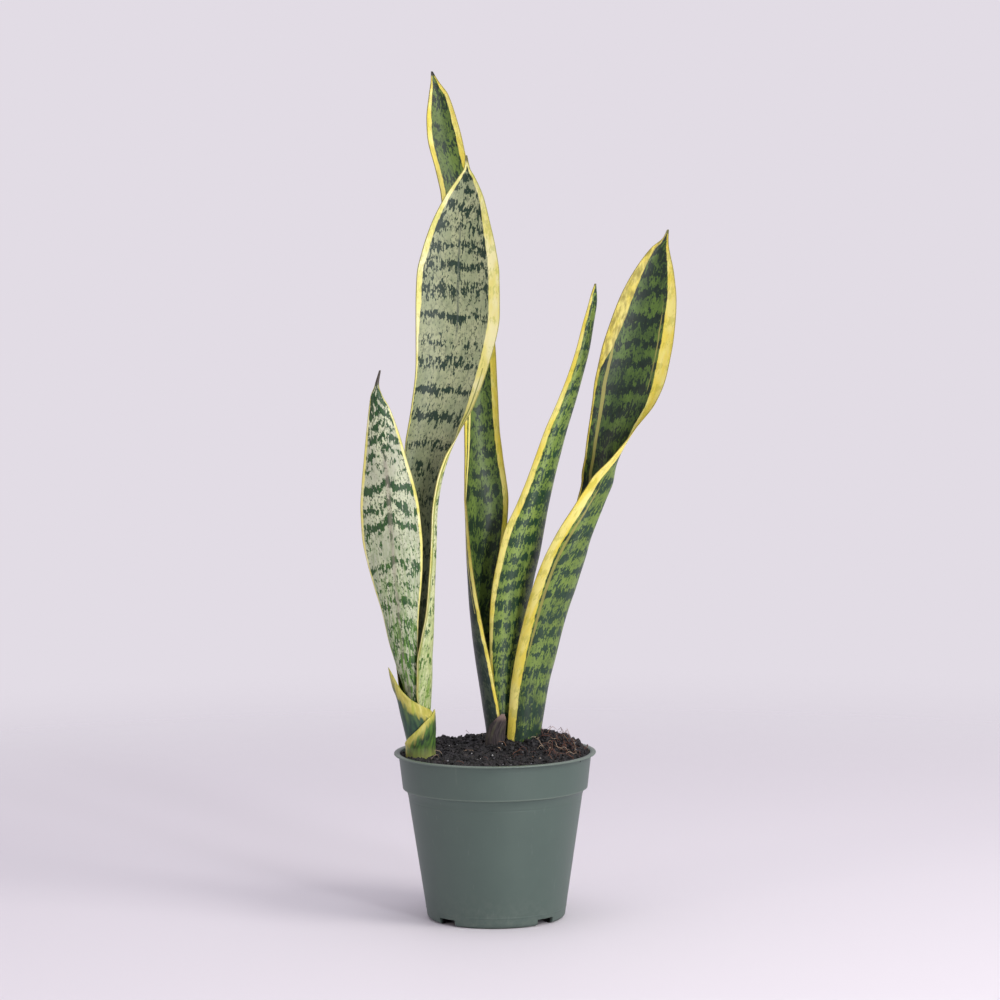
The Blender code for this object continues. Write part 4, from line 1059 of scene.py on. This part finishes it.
# %% Building a leaf
def build_leaf(node, sections, columns, pitch, wave, seed, skin, **marks):
    """Builds the leaf that stands for a CAD node: its blade, the map along it, its markings and its skin."""
    leaf, facts = blade(node + "_skin", sections, LEAF_THICKNESS, columns, pitch, wave, seed)
    strip_map(leaf, facts)
    markings(leaf, facts, **marks)
    finish_piece(leaf, skin, node, node)


# %% [markdown]
# ### The tall leaf of the left shoot
#
# Its inner face is turned to the front: grey-green, silvery towards the base, with dark combed bands about 20 mm apart.
# Painted shade darkens the crease along its midrib and its channel low down.

# %% Left tall leaf
build_leaf(
    "leaf_left_tall", LEFT_TALL_LEAF, columns=61, pitch=1.6, wave=0.5, seed=31,
    skin=waxy_leaf(
        "waxy_leaf_grey_green", 1,
        outer=("#BBC38C", "#D3D8A8", "#4F7030", "#34552A"),
        inner=("#8D9674", "#A3A884", "#152B1F", "#21362A"),
        # The dark midrib line here is painted shade in the crease of the fold.
        rim=PALE_RIM, tip_length=6.0, fleck=0.6, spine="#6E6B46", keel_tint_and_crease_shade=("#46524A", 0.7, 1.3, 340.0, 445.0),
        # Painted shade darkens this leaf's channel low down.
        base_tint=("#6C9426", 140.0, 0.9), painted_hollow_shade=("#36442C", 300.0, 0.78), blotch=0.8, stripe="#7C8838",
    ),
    bands=[
        (130, 6, 0.3), (158, 7, 0.35), (182, 6, 0.3), (205, 8, 0.4), (228, 5, 0.4), (247, 5, 0.5), (268, 6, 0.55),
        (288, 5, 0.5), (306, 5, 0.5), (327, 6, 0.6), (349, 5, 0.6), (369, 4, 0.6), (391, 6, 0.75), (411, 4, 0.8),
        (432, 6, 0.62), (446, 4, 0.5), (467, 4, 0.8), (489, 7, 0.66), (507, 4, 0.75), (522, 4, 0.72),
        (538, 6, 0.55), (552, 5, 0.6), (566, 5, 0.7), (577, 4, 0.9), (584, 4, 0.9), (590, 5, 1.2),
    ],
    keel=0.0, tilt=2.5,
    rims={
        "left": [(103, 1.0), (420, 1.4), (452, 2.2), (480, 4.4), (520, 5.0), (557, 3.6), (585, 1.6), (592, 0.6)],
        "right": [
            (103, 1.6), (300, 2.2), (340, 3.0), (365, 4.4), (390, 6.0), (410, 8.0), (460, 9.4), (500, 9.0),
            (530, 7.2), (557, 4.0), (585, 1.5), (592, 0.6),
        ],
    },
    crowd=[(103, 0.0), (470, 0.0), (490, 0.75), (520, 0.85), (560, 1.0), (590, 1.0)],
    stripes=[
        ("right", [(150, 1.3, 0.3), (250, 1.6, 0.5), (330, 2.1, 0.6), (400, 3.6, 0.6), (430, 4.6, 0.2)]),
    ],
)

# %% [markdown]
# ### The short leaf of the left shoot
#
# It turns its rounded back to the front: almost white, with a soft pinkish keel and dark green combs.

# %% Left short leaf
build_leaf(
    "leaf_left_short", LEFT_SHORT_LEAF, columns=51, pitch=1.4, wave=0.35, seed=41,
    skin=waxy_leaf(
        "waxy_leaf_silver", 2,
        outer=("#B4B8A0", "#CACFB0", "#1E3924", "#2D522A"),
        inner=("#A9B694", "#B6BFA2", "#2C463D", "#3A5347"),
        rim=PALE_RIM, tip_length=15.0, fleck=0.8, spine="#4A443D", keel_tint_and_crease_shade=("#94867F", 0.45, 2.6, 0.0, 270.0),
        base_tint=("#56861F", 225.0, 0.95), density=0.02, blotch=0.9,
    ),
    bands=[
        (130, 6, 0.5), (150, 6, 0.5), (172, 6, 0.6), (186, 5, 0.6), (198, 5, 0.7), (213, 5, 0.7), (228, 5, 0.65),
        (245, 4, 0.6), (259, 3, 0.5), (273, 5, 0.6), (290, 3, 0.3), (305, 4, 0.82), (319, 4, 0.75), (335, 5, 0.85),
        (352, 3, 0.4), (362, 4, 0.6), (372, 4, 0.72), (382, 4, 0.7), (392, 4, 0.8), (402, 5, 0.95), (410, 5, 1.1),
        (418, 7, 1.3), (427, 8, 1.4),
    ],
    keel=-9.0, tilt=1.6,
    rims={
        "left": [(103, 0.8), (200, 1.0), (260, 1.8), (300, 2.6), (350, 3.0), (390, 2.2), (411, 1.0), (428, 0.3)],
        "right": [(103, 0.8), (200, 0.9), (260, 1.6), (300, 2.4), (350, 2.8), (390, 1.8), (411, 0.8), (428, 0.3)],
    },
    crowd=[(103, 0.0), (370, 0.0), (390, 0.9), (411, 1.0), (428, 1.0)],
)

# %% [markdown]
# ### The tall leaf at the back
#
# Deep green with bright margins. It shows its hollow side, in shade low down, and its dark back past the left margin.

# %% Back leaf
build_leaf(
    "leaf_back_tall", BACK_TALL_LEAF, columns=51, pitch=1.8, wave=0.45, seed=51,
    skin=waxy_leaf(
        "waxy_leaf_deep_green", 3,
        outer=("#36443A", "#465243", "#1A2B27", "#233530"),
        inner=("#657C3A", "#546A31", "#18281D", "#223826"),
        rim=RIM, tip_length=4.5, fleck=0.7, spine="#2B2A22", base_tint=("#222F2A", 40.0, 0.5),
        # Painted shade darkens the hollow face low down.
        painted_hollow_shade=("#15201B", 165.0, 0.62), density=0.03, blotch=0.95,
    ),
    bands=[
        (130, 12, 0.8), (160, 10, 0.7), (185, 9, 0.8), (210, 10, 0.7), (236, 8, 0.8), (262, 9, 0.6), (286, 8, 0.8),
        (306, 8, 0.85), (330, 6, 0.7), (346, 5, 0.5), (362, 6, 0.7), (382, 5, 0.6), (398, 5, 0.55), (417, 6, 0.65),
        (440, 7, 0.8), (470, 6, 0.7), (500, 7, 0.7), (530, 6, 0.7), (556, 5, 0.7), (576, 7, 0.65), (600, 5, 0.6),
        (618, 4, 0.45), (636, 5, 0.8), (648, 5, 0.9),
    ],
    keel=4.0,
    rims={
        "right": [
            (103, 1.5), (180, 2.5), (300, 4.6), (350, 5.4), (430, 5.6), (560, 5.0), (620, 4.4), (645, 2.4),
            (658, 0.5),
        ],
        "left": [
            (103, 1.8), (180, 2.6), (330, 3.6), (360, 4.0), (430, 4.8), (560, 5.0), (620, 4.6), (645, 2.2),
            (658, 0.5),
        ],
    },
    crowd=[(103, 0.0), (520, 0.2), (600, 0.7), (650, 0.9)],
    stripes=[
        (
            "left",
            [(235, 4.6, 0.1), (270, 5.2, 0.5), (330, 6.0, 0.8), (380, 6.6, 0.9), (410, 7.2, 0.6), (430, 7.4, 0.1)],
        ),
    ],
)

# %% [markdown]
# ### The narrow leaf of the right shoot
#
# Its rounded back shows, crossed by smile-shaped bands, with one yellow margin along its left.

# %% Middle narrow leaf
build_leaf(
    "leaf_middle_narrow", MIDDLE_NARROW_LEAF, columns=51, pitch=1.6, wave=0.3, seed=61,
    skin=waxy_leaf(
        "waxy_leaf_banded_green", 4,
        outer=("#869E4A", "#748D42", "#1E3A25", "#2A4830"),
        inner=("#6F8C45", "#5B7E3D", "#20382F", "#2B4638"),
        rim=RIM, tip_length=2.0, fleck=0.75, spine="#6A6330", base_tint=("#1A2B23", 44.0, 0.9), density=0.0,
        blotch=0.8,
    ),
    bands=[
        (125, 14, 1.0), (150, 9, 0.9), (168, 5, 0.8), (180, 4, 0.65), (189, 4, 0.7), (199, 4, 0.7), (210, 5, 0.8),
        (224, 5, 0.85), (241, 5, 0.8), (255, 5, 0.75), (266, 4, 0.7), (277, 5, 0.8), (291, 5, 0.85), (304, 5, 0.9),
        (322, 9, 0.85), (341, 6, 0.75), (357, 6, 0.6), (375, 5, 0.7), (392, 5, 0.65), (408, 6, 0.7), (425, 5, 0.6),
        (441, 6, 0.65), (457, 5, 0.6), (474, 6, 0.8), (487, 6, 0.9),
    ],
    keel=-3.5,
    rims={
        "right": [
            (103, 1.8), (209, 2.8), (232, 3.8), (265, 5.2), (298, 6.0), (325, 5.4), (380, 4.6), (441, 3.4),
            (480, 2.2), (492, 0.8),
        ],
        "left": [(103, 1.0), (232, 1.6), (300, 2.4), (441, 1.6), (480, 1.0), (492, 0.4)],
    },
)

# %% [markdown]
# ### The twisted leaf of the right shoot
#
# It shows its banded back below, turns over half-way up, and opens into a broad dark face with wide yellow margins.

# %% Right twisted leaf
build_leaf(
    "leaf_right_twisted", RIGHT_TWISTED_LEAF, columns=61, pitch=1.6, wave=0.45, seed=71,
    skin=waxy_leaf(
        "waxy_leaf_twisted_green", 5,
        outer=("#778F40", "#667C38", "#1B3425", "#28442F"),
        inner=("#567030", "#3A5028", "#14221A", "#1C2E23"),
        rim=RIM, tip_length=4.0, fleck=0.7, spine="#6A6A3C", base_tint=("#22362C", 66.0, 0.9), density=0.04,
        blotch=0.9, stripe="#9C9650", dull=0.75,
    ),
    bands=[
        (118, 12, 0.85), (140, 9, 0.85), (158, 8, 0.8), (176, 5, 0.6), (190, 5, 0.65), (205, 4, 0.6),
        (219, 5, 0.75), (232, 5, 0.7), (250, 6, 0.8), (268, 5, 0.7), (282, 5, 0.65), (297, 6, 0.75), (315, 5, 0.6),
        (336, 6, 0.8), (355, 6, 0.6), (372, 7, 0.8), (392, 7, 0.7), (410, 6, 0.75), (428, 5, 0.8), (444, 5, 0.7),
        (462, 7, 0.75), (484, 6, 0.75), (500, 6, 0.8), (515, 6, 0.85), (527, 5, 0.9),
    ],
    keel=-2.0,
    rims={
        "right": [
            (103, 5.6), (139, 7.4), (183, 9.4), (221, 9.8), (260, 9.2), (292, 7.6), (325, 7.0), (351, 6.8),
            (378, 8.0), (399, 9.6), (424, 10.8), (445, 10.4), (472, 8.8), (500, 5.2), (523, 1.8), (533, 0.5),
        ],
        "left": [
            (103, 1.2), (300, 1.4), (400, 1.6), (428, 3.0), (444, 9.0), (465, 11.0), (490, 9.0), (512, 4.5),
            (527, 1.2), (533, 0.5),
        ],
    },
    stripes=[
        (
            "right",
            [(190, 10.8, 0.1), (225, 11.6, 0.7), (262, 11.2, 0.9), (300, 10.0, 0.8), (330, 9.6, 0.4), (345, 9.2, 0.0)],
        ),
        ("left", [(300, 6.0, 0.7), (360, 7.2, 1.0), (410, 8.4, 1.4), (436, 9.0, 1.1), (452, 9.0, 0.0)]),
        ("right", [(400, 13.4, 0.0), (425, 13.4, 0.4), (455, 12.8, 0.5), (485, 10.0, 0.0)]),
    ],
)

# %% [markdown]
# ### Sheath leaves
#
# The first leaves of a shoot stay short and clasp its foot. Two are alive: softer, thinner tissue than a leaf's, green
# in long streaks, with a satin sheen and yellow margins that run slantwise to their tips.

# %% Green sheaths
def sheath_skin(name, seed, field, second, foot):
    """Sheath tissue: streaks of two greens, olive clouds, a yellow margin whose inner side wanders with the streaks,
    and a paler foot. The rim value is the distance in millimetres past the inner side of that margin."""
    material, tree, shader = new_material(
        name, Roughness=0.42, IOR=1.45, Subsurface_Weight=0.12, Subsurface_Radius=FLESH, Subsurface_Scale=0.0015
    )
    edge, rim, base, tip = [add(tree, "number", attribute_name=key) for key in ("edge", "rim", "base", "tip")]
    strip = add(tree, "strip")
    sized = add(tree, "stretch", strip, (450.0, 110.0, 0.0))
    moved = add(tree, "shift", sized, (seed * 3.1, seed * 1.7, 0.0))
    streak = add(tree, "noise", moved, Scale=1.0, Detail=4.0)
    cloud = add(tree, "noise", moved, Scale=0.22, Detail=2.0)
    colour = add(tree, "mix", add(tree, "ease", streak, 0.35, 0.68), field, second)
    colour = add(tree, "mix", add(tree, "times", add(tree, "ease", cloud, 0.5, 0.7), 0.4), colour, "#8CA64C")
    yellow = add(tree, "mix", add(tree, "ease", streak, 0.4, 0.62), "#B7B04E", "#D0C86C")
    yellow = add(tree, "mix", add(tree, "times", add(tree, "ease", cloud, 0.52, 0.72), 0.6), yellow, "#9DB23C")
    wobble = add(tree, "times", add(tree, "minus", streak, 0.5), 14.0)
    colour = add(tree, "mix", add(tree, "ease", add(tree, "plus", rim, wobble), 2.6, -2.2), colour, yellow)
    colour = add(tree, "mix", add(tree, "times", add(tree, "ease", edge, 0.8, 0.2), 0.6), colour, "#8F9A3C")
    colour = add(tree, "mix", add(tree, "times", add(tree, "ease", base, 36.0, 20.0), 0.75), colour, foot)
    colour = add(tree, "mix", add(tree, "times", add(tree, "ease", tip, 5.0, 1.0), 0.5), colour, "#B9B25A")
    bump = add(tree, "bump", Strength=0.4, Distance=0.0003, Height=streak)
    wire(tree, shader, Base_Color=colour, Normal=bump)
    return material


INNER_MARGIN = [(103, 6.0), (150, 9.0), (165, 8.4), (180, 5.6), (195, 2.8)]
OUTER_MARGIN = [(103, 4.0), (130, 5.0), (150, 4.6), (165, 3.0)]
for name, sections, seed, field, second, widths, foot in (
    ("sheath_left_inner", LEFT_INNER_SHEATH, 6, "#213F34", "#34573D", INNER_MARGIN, "#76904A"),
    ("sheath_left_outer", LEFT_OUTER_SHEATH, 7, "#24382A", "#587E36", OUTER_MARGIN, "#A5A75E"),
):
    piece, facts = blade(name + "_skin", sections, SHEATH_THICKNESS, 61, 0.7)
    strip_map(piece, facts)
    edge = np.minimum(facts["right"], facts["left"])
    rim = edge - np.interp(facts["z"], *np.array(widths).T)
    give_values(piece, edge=edge, rim=rim, tip=facts["tip"], base=facts["z"] - facts["low"])
    finish_piece(piece, sheath_skin("clasping_sheath_" + str(seed), seed, field, second, foot), name, name)


# %% [markdown]
# ### The dry sheath
#
# The one at the right shoot's foot is dead: matt brown paper with raised veins, still a little green in places, and a
# pinkish tip.

# %% Dry sheath
def dried_sheath():
    """Dark brown to grey-brown along the veins, with olive clouds, and a pinkish tip over the last 7 mm."""
    material, tree, shader = new_material("dried_sheath", Roughness=0.78)
    tip = add(tree, "number", attribute_name="tip")
    strip = add(tree, "strip")
    sized = add(tree, "stretch", strip, (1100.0, 130.0, 0.0))
    vein = add(tree, "noise", sized, Scale=1.0, Detail=4.0, Roughness=0.6)
    cloud = add(tree, "noise", sized, Scale=0.3, Detail=3.0)
    colour = add(tree, "mix", add(tree, "ease", vein, 0.35, 0.7), "#2A2528", "#4C4344")
    colour = add(tree, "mix", add(tree, "times", add(tree, "ease", cloud, 0.5, 0.7), 0.4), colour, "#5F6042")
    colour = add(tree, "mix", add(tree, "times", add(tree, "ease", tip, 7.0, 1.0), 0.7), colour, "#957D76")
    bump = add(tree, "bump", Strength=0.8, Distance=0.0006, Height=vein)
    wire(tree, shader, Base_Color=colour, Normal=bump)
    return material


piece, facts = blade("sheath_right_dry_skin", RIGHT_DRY_SHEATH, SHEATH_THICKNESS, 41, 0.8)
strip_map(piece, facts)
give_values(piece, tip=facts["tip"])
finish_piece(piece, dried_sheath(), "sheath_right_dry", "sheath_right_dry")

# %% [markdown]
# ## The rhizome
#
# Buried in the mix, so it never shows. It keeps its CAD shape and gets a fleshy orange-brown skin with darker patches.

# %% Rhizome finish
def rhizome_flesh():
    """Two browns in patches a few millimetres wide, raised a little where they are lighter."""
    material, tree, shader = new_material("rhizome_flesh", Roughness=0.6)
    place = add(tree, "place")
    patch = add(tree, "noise", place, Scale=160.0, Detail=4.0)
    colour = add(tree, "mix", add(tree, "ease", patch, 0.35, 0.7), "#C08A4E", "#8A5A33")
    bump = add(tree, "bump", Strength=0.5, Distance=0.0008, Height=patch)
    wire(tree, shader, Base_Color=colour, Normal=bump)
    return material


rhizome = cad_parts["rhizome"]
rhizome.data.materials.clear()
rhizome.data.materials.append(rhizome_flesh())
print("rhizome", len(rhizome.data.polygons), "faces")
